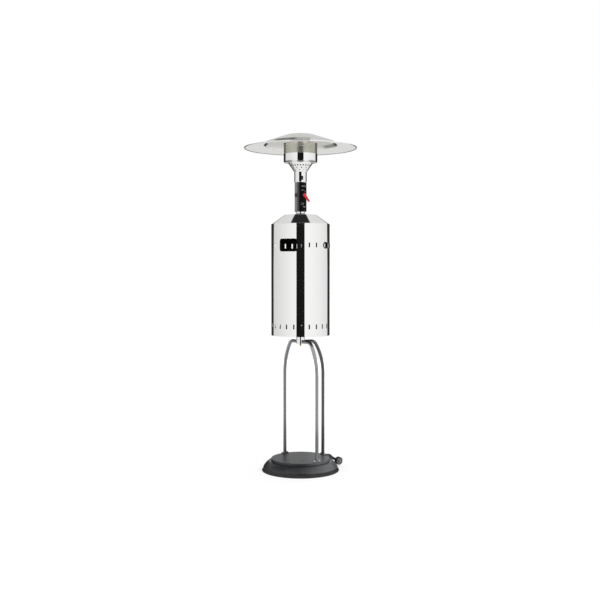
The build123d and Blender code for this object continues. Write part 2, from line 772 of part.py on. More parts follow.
with BuildPart() as panel_screws:
    for screw_height in panel_screw_heights:
        with BuildSketch(facing_plane(panel_bearing, control_inner - 3, screw_height)):
            Circle(panel_screw_radius)
        extrude(amount=3 + panel_outer - control_inner)
        with BuildSketch(facing_plane(panel_bearing, panel_outer, screw_height)):
            Circle(panel_screw_radius * 2)
        extrude(amount=1.4, taper=20)
save(panel_screws, "panel_screws")

# Brass valve block with the boss that the spindle turns in.
valve_boss_reach = 22.0
spindle_start = valve_size / 2 - 1
with BuildPart() as gas_valve:
    with BuildSketch(facing_plane(lever_bearing, -valve_size / 2, lever_height)):
        RectangleRounded(valve_size, valve_height, 2)
    extrude(amount=valve_size)
    with BuildSketch(facing_plane(lever_bearing, valve_size / 2, lever_height)):
        Circle(spindle_radius + 4)
    extrude(amount=valve_boss_reach - valve_size / 2)
    with BuildSketch(facing_plane(lever_bearing, spindle_start - RUN, lever_height)):
        Circle(spindle_radius + RUN)
    extrude(amount=valve_boss_reach, mode=Mode.SUBTRACT)
save(gas_valve, "gas_valve")

injector_bottom = valve_bottom + valve_height
injector_hex_height = 10.0
injector_height = 24.0
with BuildPart() as gas_injector:
    with BuildSketch(Plane.XY.offset(injector_bottom)):
        RegularPolygon(7, 6, major_radius=False)
    extrude(amount=injector_hex_height)
    with BuildSketch(Plane.XY.offset(injector_bottom + injector_hex_height)):
        Circle(5)
    extrude(amount=injector_height - injector_hex_height, taper=6)
    Hole(0.8)
save(gas_injector, "gas_injector")

lever_start = panel_outer + RUN
lever_turn = radians(lever_rest_angle)
lever_end_reach = lever_length - lever_tip / 2
lever_end = (lever_end_reach * sin(lever_turn), -lever_end_reach * cos(lever_turn))
lever_web = lever_thick * 0.55
with BuildPart() as gas_lever:
    for start, height, shrink in ((0, lever_web, 0), (lever_web, lever_thick - lever_web, 3.0)):
        with BuildSketch(lever_plane.offset(lever_start + start)):
            Circle(lever_root / 2 - shrink)
            with Locations(lever_end):
                Circle(lever_tip / 2 - shrink)
            make_hull()
        extrude(amount=height)
    with BuildSketch(lever_plane.offset(lever_start)):
        Circle(lever_root / 2 + 2)
    extrude(amount=lever_web)
    with BuildSketch(lever_plane.offset(lever_start)):
        Circle(spindle_radius + FIT / 2)
    extrude(amount=lever_thick, mode=Mode.SUBTRACT)
save(gas_lever, "gas_lever")

with BuildPart() as lever_spindle:
    with BuildSketch(lever_plane.offset(spindle_start)):
        Circle(spindle_radius)
    extrude(amount=lever_start + lever_thick - spindle_start)
    with BuildSketch(lever_plane.offset(lever_start + lever_thick)):
        Circle(spindle_radius + 1.5)
    extrude(amount=1.5)
save(lever_spindle, "lever_spindle")

# Piezo igniter: barrel through the housing with a flange outside, and the button in it.
barrel_floor = 24.0
flange_radius = barrel_outer + 2.2
stem_radius = 4.0
with BuildPart() as igniter_barrel:
    with BuildSketch(button_plane.offset(barrel_floor - 2)):
        Circle(barrel_outer)
    extrude(amount=control_radius + 2 - barrel_floor + 2)
    with BuildPart(mode=Mode.PRIVATE) as barrel_flange:
        with BuildSketch(button_plane):
            Circle(flange_radius)
        extrude(amount=control_radius * 2)
        with BuildSketch(Plane.XY.offset(lever_height - flange_radius)):
            Circle(control_radius + 2)
            Circle(control_radius + FIT / 2, mode=Mode.SUBTRACT)
        extrude(amount=2 * flange_radius, mode=Mode.INTERSECT)
    add(barrel_flange.part)
    with BuildSketch(button_plane.offset(barrel_floor)):
        Circle(barrel_inner)
    extrude(amount=control_radius * 2, mode=Mode.SUBTRACT)
    with BuildSketch(button_plane.offset(valve_size * 0.72)):
        Circle(stem_radius + 3)
    extrude(amount=barrel_floor - 2 - valve_size * 0.72)
    with BuildSketch(button_plane.offset(valve_size * 0.72 + 0.6)):
        Circle(stem_radius + RUN)
    extrude(amount=barrel_floor, mode=Mode.SUBTRACT)
save(igniter_barrel, "igniter_barrel")

button_face = control_radius + button_proud
button_back = barrel_floor + button_travel + 1.5
with BuildPart() as igniter_button:
    with BuildSketch(button_plane.offset(button_back)):
        Circle(button_radius)
    extrude(amount=button_face - button_back)
    chamfer(igniter_button.edges().filter_by(GeomType.CIRCLE), 0.8)
    with BuildSketch(button_plane.offset(barrel_floor)):
        Circle(stem_radius)
    extrude(amount=button_back - barrel_floor)
save(igniter_button, "igniter_button")

# Tip-over switch clipped round the gas pipe inside the housing.
switch_width = 18.0
switch_length = 34.0
switch_height = 22.0
switch_rise = 14.0
with BuildPart() as tilt_switch:
    with BuildSketch(Plane.XY.offset(pole_top + switch_rise)):
        with Locations((0, switch_width / 2)):
            RectangleRounded(switch_width, switch_length, 3)
        Circle(gas_pipe_radius + FIT / 2, mode=Mode.SUBTRACT)
    extrude(amount=switch_height)
save(tilt_switch, "tilt_switch")

# ================================================================ burner
cone_flange = 9.0
cone_start = (neck_radius, neck_top)
cone_end = (cone_radius, cone_top)
cone_run = hypot(cone_radius - neck_radius, cone_top - neck_top)
cone_cos = (cone_top - neck_top) / cone_run
cone_sin = (cone_radius - neck_radius) / cone_run
# rows of burner air holes, from the widest down
cone_row_shares = (0.77, 0.514, 0.284)   # place of a row between the neck and the cone's rim
cone_row_counts = (24, 12, 12)
cone_row_bearings = (0.0, 7.5, 22.5)
cone_hole_radii = (4.0, 3.5, 2.5)


def cone_plane(bearing, reach):
    """Plane on the cone's outer face that looks square out of it."""
    height = neck_top + (reach - neck_radius) * cone_cos / cone_sin
    turn = radians(bearing)
    return Plane(origin=outward(bearing, reach, height), x_dir=(cos(turn), sin(turn), 0),
                 z_dir=(sin(turn) * cone_cos, -cos(turn) * cone_cos, -cone_sin))


with BuildPart() as burner_neck:
    with BuildSketch(Plane.XZ):
        with BuildLine():
            inner_shift = neck_wall / cone_cos
            Polyline((neck_radius, neck_bottom), cone_start, cone_end, (cone_radius, bowl_bottom),
                     (cone_radius - cone_flange, bowl_bottom),
                     (cone_radius - cone_flange, bowl_bottom - neck_wall),
                     (cone_radius - inner_shift, bowl_bottom - neck_wall),
                     (cone_radius - inner_shift, cone_top), (neck_radius - neck_wall, neck_top),
                     (neck_radius - neck_wall, neck_bottom), close=True)
        make_face()
    revolve(axis=Axis.Z)
    for share, hole_count, first, hole_radius in zip(cone_row_shares, cone_row_counts, cone_row_bearings,
                                                     cone_hole_radii):
        row_reach = neck_radius + share * (cone_radius - neck_radius)
        with BuildSketch(*[cone_plane(first + number * 360 / hole_count, row_reach)
                           for number in range(hole_count)]):
            Circle(hole_radius)
        extrude(amount=3 * neck_wall, both=True, mode=Mode.SUBTRACT)
    with BuildSketch(*[facing_plane(air_slot_first + number * 360 / air_slot_count, neck_radius / 2,
                                    air_slot_middle) for number in range(air_slot_count)]):
        RectangleRounded(air_slot_width, air_slot_height, 3)
    extrude(amount=neck_radius, mode=Mode.SUBTRACT)
save(burner_neck, "burner_neck")

mixing_tube_bottom = injector_bottom + injector_height + 8
mixing_tube_top = bowl_bottom + 14
with BuildPart() as mixing_tube:
    with BuildSketch(Plane.XY.offset(mixing_tube_bottom)):
        Circle(mixing_tube_radius)
        Circle(mixing_tube_radius - 1.2, mode=Mode.SUBTRACT)
    extrude(amount=mixing_tube_top - mixing_tube_bottom)
save(mixing_tube, "mixing_tube")

tube_hole = mixing_tube_radius + FIT / 2
bowl_floor = bowl_bottom + bowl_wall
bowl_inner = bowl_radius - bowl_wall
with BuildPart() as burner_bowl:
    with BuildSketch(Plane.XZ):
        with BuildLine():
            floor_line = Line((tube_hole, bowl_bottom), (bowl_radius - bowl_corner, bowl_bottom))
            corner = JernArc(floor_line @ 1, floor_line % 1, bowl_corner, 90)
            rim = Polyline(corner @ 1, (bowl_radius, bowl_top), (bowl_inner, bowl_top),
                           (bowl_inner, bowl_bottom + bowl_corner))
            inner_corner = JernArc(rim @ 1, (0, -1), bowl_corner - bowl_wall, -90)
            Polyline(inner_corner @ 1, (tube_hole, bowl_floor), floor_line @ 0)
        make_face()
    revolve(axis=Axis.Z)
save(burner_bowl, "burner_bowl")

head_height = 44.0
head_wall = 1.5
flame_slot_count = 18
with BuildPart() as burner_head:
    with BuildSketch(Plane.XZ):
        with BuildLine():
            head_top = bowl_floor + head_height
            Polyline((tube_hole, bowl_floor), (burner_head_radius, bowl_floor),
                     (burner_head_radius, head_top - 12), (burner_head_radius - 14, head_top), (0, head_top),
                     (0, head_top - head_wall), (burner_head_radius - 14 - head_wall / 2, head_top - head_wall),
                     (burner_head_radius - head_wall, head_top - 12),
                     (burner_head_radius - head_wall, bowl_floor + head_wall),
                     (tube_hole, bowl_floor + head_wall), close=True)
        make_face()
    revolve(axis=Axis.Z)
    with BuildSketch(Plane.XY.offset(head_top - 2 * head_wall)):
        with PolarLocations(burner_head_radius * 0.55, flame_slot_count):
            Rectangle(26, 3)
    extrude(amount=3 * head_wall, mode=Mode.SUBTRACT)
save(burner_head, "burner_head")

# Emitter: a perforated cylinder between the bowl and the top plate.
screen_outer = bowl_inner - FIT
opening_radius = 7.0
opening_band = screen_top - bowl_top
row_pitch = opening_band / (screen_rows + 0.4)
with BuildPart() as emitter_screen:
    with BuildSketch(Plane.XY.offset(bowl_top - screen_lap)):
        Circle(screen_outer)
        Circle(screen_outer - screen_wall, mode=Mode.SUBTRACT)
    extrude(amount=screen_top - bowl_top + screen_lap)
    for row in range(screen_rows):
        row_height = bowl_top + row_pitch * (row + 0.7)
        with BuildSketch(*[facing_plane((number + row % 2 / 2) * 360 / screen_columns, screen_outer / 2, row_height)
                           for number in range(screen_columns)]):
            RegularPolygon(opening_radius, 4)
        extrude(amount=screen_outer, mode=Mode.SUBTRACT)
save(emitter_screen, "emitter_screen")

stud_places = [outward(number * 360 / stud_count, stud_circle) for number in range(stud_count)]
stud_places = [(place.X, place.Y) for place in stud_places]
with BuildPart() as emitter_top_plate:
    with BuildSketch(Plane.XZ):
        with BuildLine():
            Polyline((0, plate_top), (bowl_radius, plate_top), (bowl_radius, screen_top - 6),
                     (screen_outer + FIT, screen_top - 6), (screen_outer + FIT, screen_top),
                     (0, screen_top), close=True)
        make_face()
    revolve(axis=Axis.Z)
    with BuildSketch(Plane.XY.offset(screen_top)):
        with Locations(*stud_places):
            Circle((stud_diameter + HOLE) / 2)
    extrude(amount=top_plate_thick, mode=Mode.SUBTRACT)
save(emitter_top_plate, "emitter_top_plate")

# Pilot group: it stands on the bowl's floor, between the burner head and the screen.
pilot_reach = burner_head_radius + 15.0
pilot_post = 44.0
pilot_tip = 10.0
thermocouple_post = 30.0
thermocouple_tip = 26.0
electrode_post = 34.0
electrode_tip = 16.0
with BuildPart() as pilot_burner:
    with BuildSketch(Plane(origin=outward(40, pilot_reach, bowl_floor))):
        Circle(4)
    extrude(amount=pilot_post)
    with BuildSketch(Plane(origin=outward(40, pilot_reach, bowl_floor + pilot_post))):
        Circle(6)
    extrude(amount=pilot_tip)
save(pilot_burner, "pilot_burner")

with BuildPart() as thermocouple:
    with BuildSketch(Plane(origin=outward(52, pilot_reach, bowl_floor))):
        Circle(3.5)
    extrude(amount=thermocouple_post)
    with BuildSketch(Plane(origin=outward(52, pilot_reach, bowl_floor + thermocouple_post))):
        Circle(2.2)
    extrude(amount=thermocouple_tip)
save(thermocouple, "thermocouple")

with BuildPart() as spark_electrode:
    with BuildSketch(Plane(origin=outward(28, pilot_reach, bowl_floor))):
        Circle(4.5)
    extrude(amount=electrode_post)
    with BuildSketch(Plane(origin=outward(28, pilot_reach, bowl_floor + electrode_post))):
        Circle(1.4)
    extrude(amount=electrode_tip)
save(spark_electrode, "spark_electrode")

# ================================================================ reflector
def brim_height(reach):
    """Height of the brim's top face."""
    return dome_foot_height - brim_slope * (reach - dome_foot_radius)


dome_step = (dome_foot_radius - dome_step_width, dome_foot_height + dome_step_rise)
dome_flat = (dome_flat_radius, dome_top)
dome_side = ((dome_step[0] + dome_flat[0]) / 2 + dome_bulge, (dome_step[1] + dome_flat[1]) / 2)
flange_edge = dome_foot_radius + dome_flange
dome_screw_circle = dome_foot_radius + dome_flange / 2
brim_screw_circle = reflector_radius - brim_screw_inset
brim_depth = reflector_radius * brim_slope
brim_screw_radius = 2.0
lap_angle = degrees(segment_lap / brim_screw_circle)
seam_bearings = [45 + number * 360 / segment_count for number in range(segment_count)]
dome_screws = [outward(seam + side * 3, dome_screw_circle) for seam in seam_bearings for side in (-1, 1)]
lap_screws = [outward(seam + lap_angle / 2, brim_screw_circle) for seam in seam_bearings]
screw_places = [(place.X, place.Y) for place in dome_screws + lap_screws]

with BuildPart() as reflector_dome:
    with BuildSketch(Plane.XZ):
        with BuildLine():
            wall = reflector_wall
            foot_line = Polyline((flange_edge, brim_height(flange_edge)),
                                 (flange_edge, brim_height(flange_edge) + wall),
                                 (dome_foot_radius, dome_foot_height + wall), dome_step)
            crown = ThreePointArc(dome_step, dome_side, dome_flat)
            top_line = Polyline(dome_flat, (0, dome_top), (0, dome_top - wall), (dome_flat[0], dome_top - wall))
            under = ThreePointArc(top_line @ 1, (dome_side[0], dome_side[1] - wall),
                                  (dome_step[0] - wall, dome_step[1] - wall))
            Polyline(under @ 1, (dome_foot_radius - wall, brim_height(dome_foot_radius - wall)), foot_line @ 0)
        make_face()
    revolve(axis=Axis.Z)
    with BuildSketch(Plane.XY.offset(reflector_rim_height)):
        with Locations(*screw_places):
            Circle(brim_screw_radius + HOLE / 2)
    extrude(amount=brim_depth, mode=Mode.SUBTRACT)
    with BuildSketch(Plane.XY.offset(dome_top - 2 * wall)):
        with Locations(*stud_places):
            Circle((stud_diameter + HOLE) / 2)
    extrude(amount=3 * wall, mode=Mode.SUBTRACT)
save(reflector_dome, "reflector_dome")

bead_middle = reflector_radius - rim_bead_radius
segment_start = dome_foot_radius + 1.0
seam_gap = degrees(FIT / reflector_radius)


def brim_segment(first_bearing, name):
    """Quarter of the brim with its rolled bead and the lap that lies under the next quarter."""
    span = 360 / segment_count - seam_gap
    with BuildPart() as segment:
        with BuildSketch(upright_plane(first_bearing)):
            with BuildLine():
                Polyline((segment_start, brim_height(segment_start)), (bead_middle, brim_height(bead_middle)),
                         (bead_middle, brim_height(bead_middle) - reflector_wall),
                         (segment_start, brim_height(segment_start) - reflector_wall), close=True)
            make_face()
            with Locations((bead_middle, reflector_rim_height)):
                Circle(rim_bead_radius)
        revolve(axis=Axis.Z, revolution_arc=span)
        with BuildSketch(upright_plane(first_bearing + span - lap_angle)):
            with BuildLine():
                lap_inner = flange_edge + 2
                lap_outer = bead_middle - rim_bead_radius - 3
                Polyline((lap_inner, brim_height(lap_inner) - reflector_wall),
                         (lap_outer, brim_height(lap_outer) - reflector_wall),
                         (lap_outer, brim_height(lap_outer) - 2 * reflector_wall),
                         (lap_inner, brim_height(lap_inner) - 2 * reflector_wall), close=True)
            make_face()
        revolve(axis=Axis.Z, revolution_arc=2 * lap_angle)
        with BuildSketch(Plane.XY.offset(reflector_rim_height - 5)):
            with Locations(*screw_places):
                Circle(brim_screw_radius + HOLE / 2)
        extrude(amount=brim_depth, mode=Mode.SUBTRACT)
    save(segment, name)


for number, seam in enumerate(seam_bearings, 1):
    brim_segment(seam, f"reflector_segment_{number}")

# Brim screws: shank, domed head and nut, each group stacked on the sheets it clamps.
with BuildPart() as reflector_screws:
    for places, reach, sheets_above in ((dome_screws, dome_screw_circle, 1), (lap_screws, brim_screw_circle, 0)):
        top = brim_height(reach) + sheets_above * reflector_wall + 0.7
        bottom = brim_height(reach) - (2 - sheets_above) * reflector_wall - 0.7
        points = [(place.X, place.Y) for place in places]
        for start, height, radius in ((bottom - 4, top - bottom + 4, brim_screw_radius),
                                      (bottom - 3, 3, brim_screw_radius * 1.75), (top, 1.8, brim_screw_radius * 2)):
            with BuildSketch(Plane.XY.offset(start)):
                with Locations(*points):
                    Circle(radius)
            extrude(amount=height)
save(reflector_screws, "reflector_screws")

with BuildPart() as reflector_studs:
    with BuildSketch(Plane.XY.offset(screen_top - 4)):
        with Locations(*stud_places):
            RegularPolygon(stud_diameter * 0.83, 6, major_radius=False)
    extrude(amount=4)
    with BuildSketch(Plane.XY.offset(screen_top)):
        with Locations(*stud_places):
            Circle(stud_diameter / 2)
    extrude(amount=dome_top + 2 - screen_top)
save(reflector_studs, "reflector_studs")

with BuildPart() as reflector_spacers:
    with BuildSketch(Plane.XY.offset(plate_top)):
        with Locations(*stud_places):
            Circle(spacer_diameter / 2)
            Circle((stud_diameter + FIT) / 2, mode=Mode.SUBTRACT)
    extrude(amount=dome_top - reflector_wall - plate_top)
save(reflector_spacers, "reflector_spacers")

nut_flats_radius = 5.0
with BuildPart() as reflector_nuts:
    with BuildSketch(Plane.XY.offset(dome_top)):
        with Locations(*stud_places):
            Circle(spacer_diameter / 2)
    extrude(amount=1)
    with BuildSketch(Plane.XY.offset(dome_top + 1)):
        with Locations(*stud_places):
            RegularPolygon(nut_flats_radius, 6, major_radius=False)
    extrude(amount=3)
    with BuildSketch(Plane.XY.offset(dome_top)):
        with Locations(*stud_places):
            Circle((stud_diameter + FIT) / 2)
    extrude(amount=2 + FIT / 2, mode=Mode.SUBTRACT)
save(reflector_nuts, "reflector_nuts")
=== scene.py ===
# %% [markdown]
# # A gas patio heater in polished steel
#
# The heater's solids come packed in a frame, at their real sizes and in metres. This file
# dresses them: it loads the frame, sets a small studio round it, mixes one finish for each
# material of the real heater, and models the pieces whose gloss or detail a CAD mesh can't show.

# %% Load the frame
import bmesh
import bpy
import json
from functools import reduce
from math import copysign, cos, degrees, pi, radians, sin, sqrt
from mathutils import Matrix, Vector

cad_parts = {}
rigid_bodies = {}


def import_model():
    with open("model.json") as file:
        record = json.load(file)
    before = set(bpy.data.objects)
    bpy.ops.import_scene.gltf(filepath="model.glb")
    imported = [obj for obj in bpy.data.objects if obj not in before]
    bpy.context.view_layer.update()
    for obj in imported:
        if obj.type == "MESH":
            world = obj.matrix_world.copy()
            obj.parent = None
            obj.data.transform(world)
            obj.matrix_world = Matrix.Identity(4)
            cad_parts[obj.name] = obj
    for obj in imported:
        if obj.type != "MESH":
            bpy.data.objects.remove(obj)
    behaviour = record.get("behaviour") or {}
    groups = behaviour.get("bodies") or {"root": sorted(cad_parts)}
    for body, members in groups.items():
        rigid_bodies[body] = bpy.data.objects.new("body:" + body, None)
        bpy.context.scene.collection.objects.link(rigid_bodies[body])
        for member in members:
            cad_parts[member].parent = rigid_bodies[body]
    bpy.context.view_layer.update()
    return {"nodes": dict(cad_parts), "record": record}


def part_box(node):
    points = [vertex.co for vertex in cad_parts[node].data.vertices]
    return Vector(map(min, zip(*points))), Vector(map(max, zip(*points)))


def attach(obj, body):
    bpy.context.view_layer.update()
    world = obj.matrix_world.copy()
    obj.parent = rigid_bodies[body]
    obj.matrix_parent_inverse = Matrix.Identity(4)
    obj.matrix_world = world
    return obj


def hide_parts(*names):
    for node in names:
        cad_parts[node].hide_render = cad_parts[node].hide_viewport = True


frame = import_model()
record = frame["record"]
home = {node: body for body, nodes in record["behaviour"]["bodies"].items() for node in nodes}
slot_of = {part["node"]: part["material_slot"] for part in record["subparts"]}

# %% [markdown]
# ## Reading sizes from the frame
#
# Nearly every part of this heater is round and stands on one upright axis. A part's box then
# gives its radius and its two heights, so a dressed piece can take its size from the solid that
# it stands for. Bearings are turned from the front of the heater, which looks along -Y, towards +X.

# %% Sizes and directions
MM = 0.001


def sizes_of(node):
    """Outer radius, foot and top of a round node."""
    (_, _, low), (radius, _, high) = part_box(node)
    return radius, low, high


def outward(bearing, reach, height=0.0):
    """Point at a bearing in degrees, a distance from the pole's middle and a height."""
    turn = radians(bearing)
    return Vector((reach * sin(turn), -reach * cos(turn), height))


def turned(bearing):
    """Matrix that turns the X axis to a bearing."""
    return Matrix.Rotation(radians(bearing - 90), 4, "Z")


housing_radius, housing_low, housing_high = sizes_of("housing_shell")
pole_radius, pole_low, pole_high = sizes_of("pole")
print(f"housing {housing_radius / MM:.1f} mm and pole {pole_radius / MM:.1f} mm in radius")

# %% [markdown]
# ## The camera
#
# A tall thin object is best seen from far off with a long lens, so its uprights stay parallel.
# The camera stands nearly six metres in front, at chest height, and looks down a little.

# %% Camera
LENS = 53.76
SENSOR = 36.0
CAMERA_PLACE = (-0.0032, -5.789, 1.3127)
CAMERA_DIP = 2.054

scene = bpy.context.scene
camera_data = bpy.data.cameras.new("camera")
camera_data.lens = LENS
camera_data.sensor_width = SENSOR
camera = bpy.data.objects.new("camera", camera_data)
camera.location = CAMERA_PLACE
camera.rotation_euler = (radians(90 - CAMERA_DIP), 0, 0)
scene.collection.objects.link(camera)
scene.camera = camera
scene.view_settings.view_transform = "Standard"
print("camera at", CAMERA_PLACE)

# %% [markdown]
# ## Nodes in one line
#
# A shader is a tree of small nodes. Writing each node as one call keeps such a tree short enough
# to read: the call names the kind of node, gives its inputs a number or a link, and sets its modes.

# %% Node helpers


def add_node(tree, kind, inputs=(), **modes):
    """A new shader node; inputs go by name or number, and take a value or another node's socket."""
    node = tree.nodes.new("ShaderNode" + kind)
    for name, value in modes.items():
        setattr(node, name, value)
    for name, value in dict(inputs).items():
        if isinstance(value, bpy.types.NodeSocket):
            tree.links.new(value, node.inputs[name])
        else:
            node.inputs[name].default_value = value
    return node


def calculate(tree, operation, *values):
    """Result of a Math node."""
    return add_node(tree, "Math", dict(enumerate(values)), operation=operation).outputs[0]


def product(tree, *values):
    """All the values multiplied."""
    return reduce(lambda first, second: calculate(tree, "MULTIPLY", first, second), values)


def between(tree, value, low, high, to_low=0.0, to_high=1.0):
    """A value's smooth passage from to_low to to_high while it goes from low to high."""
    inputs = {"Value": value, "From Min": low, "From Max": high, "To Min": to_low, "To Max": to_high}
    return add_node(tree, "MapRange", inputs, interpolation_type="SMOOTHSTEP").outputs["Result"]


def graph(tree, value, stops):
    """Height of a broken line through (place, height) stops, for a value from 0 to 1."""
    node = add_node(tree, "ValToRGB", {"Fac": value})
    for place, height in stops[2:]:
        node.color_ramp.elements.new(place)
    for element, (place, height) in zip(node.color_ramp.elements, stops):
        element.position = place
        element.color = (height, height, height, 1)
    return node.outputs["Color"]


def new_material(name, **sockets):
    """A material, its tree and its shader, with even values on the shader's own sockets."""
    material = bpy.data.materials.new(name)
    material.use_nodes = True
    shader = material.node_tree.nodes["Principled BSDF"]
    for socket, value in sockets.items():
        shader.inputs[socket.replace("_", " ")].default_value = value
    return material, material.node_tree, shader


# %% [markdown]
# ## The studio
#
# Mirror steel has no look of its own: it shows the room. It reads best between white boards, with
# dark gaps where the steel needs a dark line. The world does that here. Rays that leave a glossy
# surface see white boards on both sides, a dark gap straight in front where the camera stands, and
# the dark end of the room behind. Rays that light matt surfaces see an even white, and the camera
# itself sees a white backdrop.
#
# A ray is known only by its direction, so the room is drawn on a globe. PLACES names the regions
# of that globe. Each region is a product of smooth passages, and each passage says what it is
# measured on, where it starts and where it is whole. Besides x, y and z, a direction has a side
# (how far it leans left or right), a level (0 at the floor, 1 overhead), a depth (how far back it
# goes on the level) and a corner (x and y added). The gap's width and the start of the dark end
# change with the level. The gap is wider beside the burner's neck, so that the neck's left side
# turns dark. Behind, a strip straight back stays white. Two dark corners at the left, one low and
# one high, shade the left of the surfaces that lean down and up.

# %% World
GAP_WIDTH = ((0.0, 0.276), (0.526, 0.276), (0.561, 0.358), (0.66, 0.25), (0.89, 0.13), (0.93, 0.20))
DARK_START = ((0.0, 0.656), (0.5, 0.656), (0.542, 0.57), (0.546, 0.36), (0.553, 0.36), (0.557, 0.53),
              (0.62, 0.42), (0.93, 0.42))
PLACES = {
    "in_front": (("y", 0.1, -0.1), ("z", 0.30, 0.20)),
    "overhead": (("z", 0.80, 0.88), ("y", 0.15, 0.25)),
    "off_floor": (("z", -0.86, -0.78),),
    "beside_neck": (("level", 0.544, 0.547), ("level", 0.557, 0.554), ("x", 0.01, -0.01)),
    "straight_back": (("depth", 0.93, 0.96), ("side", 0.20, 0.12)),
    "eye_level": (("z", -0.38, -0.28), ("z", 0.38, 0.28)),
    "low_left": (("x", -0.19, -0.26), ("depth", 0.25, 0.35), ("z", -0.10, -0.16), ("z", -0.80, -0.70)),
    "high_left": (("x", -0.04, -0.16), ("y", -0.10, -0.04), ("corner", 0.24, 0.12), ("z", 0.56, 0.64)),
}
DARK_CORNERS = {"low_left": 0.55, "high_left": 0.74}
DIFFUSE_LEVEL = 0.62
BOARD_LEVEL = 0.86
BOARD_FRONT = -0.145
BOARD_RIGHT = 0.05
NECK_GAP = 0.14
GAP_EDGE = 0.012
GAP_DARK = -0.99
GAP_GLEAM = 0.018
END_EDGE = (-0.01, 0.04)
END_DARK = -0.96
OVER_ONE = 1.001

world = bpy.data.worlds.new("studio")
scene.world = world
world.use_nodes = True
room = world.node_tree
room.nodes.clear()

direction = add_node(room, "TexCoord").outputs["Generated"]
east, north, rise = add_node(room, "SeparateXYZ", {0: direction}).outputs
on_level = calculate(room, "SQRT", calculate(room, "SUBTRACT", OVER_ONE, product(room, rise, rise)))
side = calculate(room, "ABSOLUTE", east)
level = calculate(room, "MULTIPLY_ADD", rise, 0.5, 0.5)
depth = calculate(room, "DIVIDE", north, on_level)
measures = {"x": east, "y": north, "z": rise, "side": side, "level": level, "depth": depth,
            "corner": calculate(room, "ADD", east, north)}
regions = {name: product(room, *(between(room, measures[measure], start, whole)
                                 for measure, start, whole in passages))
           for name, passages in PLACES.items()}

gap_width = calculate(room, "MULTIPLY_ADD", regions["beside_neck"], NECK_GAP, graph(room, level, GAP_WIDTH))
gap = product(room, between(room, calculate(room, "SUBTRACT", gap_width, side), -GAP_EDGE, GAP_EDGE),
              calculate(room, "MAXIMUM", regions["in_front"], regions["overhead"]), regions["off_floor"])

dark = between(room, calculate(room, "SUBTRACT", depth, graph(room, level, DARK_START)), *END_EDGE)
dark = calculate(room, "MAXIMUM", calculate(room, "SUBTRACT", dark, regions["straight_back"]), 0.0)
dark = product(room, dark, regions["eye_level"])
for name, shade in DARK_CORNERS.items():
    dark = calculate(room, "MAXIMUM", dark, product(room, regions[name], shade))

board = calculate(room, "MULTIPLY_ADD", north, BOARD_FRONT, BOARD_LEVEL)
board = calculate(room, "MULTIPLY_ADD", east, BOARD_RIGHT, board)
gap_dark = calculate(room, "MULTIPLY_ADD", regions["overhead"], GAP_GLEAM, GAP_DARK)
board = product(room, board, calculate(room, "MULTIPLY_ADD", dark, END_DARK, 1.0),
                calculate(room, "MULTIPLY_ADD", gap, gap_dark, 1.0))

ray = add_node(room, "LightPath").outputs
seen = calculate(room, "MAXIMUM", ray["Is Camera Ray"], ray["Is Transmission Ray"])
light = add_node(room, "Mix", {0: ray["Is Glossy Ray"], 2: DIFFUSE_LEVEL, 3: board}).outputs[0]
light = add_node(room, "Mix", {0: seen, 2: light, 3: 1.0}).outputs[0]
sky = add_node(room, "Background", {"Color": (1, 1, 1, 1), "Strength": light})
add_node(room, "OutputWorld", {"Surface": sky.outputs[0]})
print("world of", len(room.nodes), "nodes and", len(PLACES), "named places")

# %% [markdown]
# Big soft lamps give the matt parts their shape. Each is a square area lamp with a place, a size
# and a power, and looks at the middle of the heater. They are hidden from glossy rays, because the
# white boards of the world already stand where their reflections would be.

# %% Lamps
LAMP_AIM = Vector((0, 0, 1))
LAMPS = {"key_lamp": ((2.6, -2.8, 3.2), 2.2, 75), "fill_lamp": ((-3.2, -2.2, 2.2), 2.6, 28),
         "top_lamp": ((0.3, 1.2, 4.4), 2.4, 30)}

for name, (place, size, power) in LAMPS.items():
    lamp_data = bpy.data.lights.new(name, "AREA")
    lamp_data.size = size
    lamp_data.energy = power
    lamp = bpy.data.objects.new(name, lamp_data)
    lamp.location = place
    lamp.rotation_euler = (LAMP_AIM - lamp.location).to_track_quat("-Z", "Y").to_euler()
    lamp.visible_glossy = False
    scene.collection.objects.link(lamp)
print(len(LAMPS), "lamps")

# %% [markdown]
# The floor is pale and plain. Part of its colour is emission, so that it meets the white
# backdrop without a line, and the rest is matt, so that it keeps the heater's soft shadow. The
# emission grows with the distance, until the paper is as white as the backdrop.

# %% Floor
FLOOR_SIZE = 14.0
GLOW_REACH = (0.5, 2.6)
GLOW = (0.55, 1.0)

floor_bm = bmesh.new()
bmesh.ops.create_grid(floor_bm, x_segments=1, y_segments=1, size=FLOOR_SIZE / 2)
floor_mesh = bpy.data.meshes.new("floor")
floor_bm.to_mesh(floor_mesh)
floor_bm.free()
floor = bpy.data.objects.new("floor", floor_mesh)
scene.collection.objects.link(floor)
floor.visible_glossy = False
paper, tree, shader = new_material("floor_paper", Base_Color=(0.5, 0.5, 0.5, 1), Roughness=0.9,
                                   Specular_IOR_Level=0.0, Emission_Color=(1, 1, 1, 1))
middle = add_node(tree, "TexCoord").outputs["Object"]
away = add_node(tree, "VectorMath", {0: middle}, operation="LENGTH").outputs["Value"]
tree.links.new(between(tree, away, *GLOW_REACH, *GLOW), shader.inputs["Emission Strength"])
floor_mesh.materials.append(paper)
print("floor", FLOOR_SIZE, "m wide")

# %% [markdown]
# ## Effects that several finishes share
#
# Real surfaces are never even. Steel carries fine marks from its polishing, paint has a skin like
# orange peel, edges rub bright, and dust settles near the ground. Each of these effects is a node
# group: it reads the object's own coordinates and gives out a mask or a height, and each finish
# then decides what to do with it. A function draws each group, and the line over the function
# names the group's inputs and what they are at first.

# %% Effect groups


def object_place(tree):
    """The object's own coordinates."""
    return add_node(tree, "TexCoord").outputs["Object"]


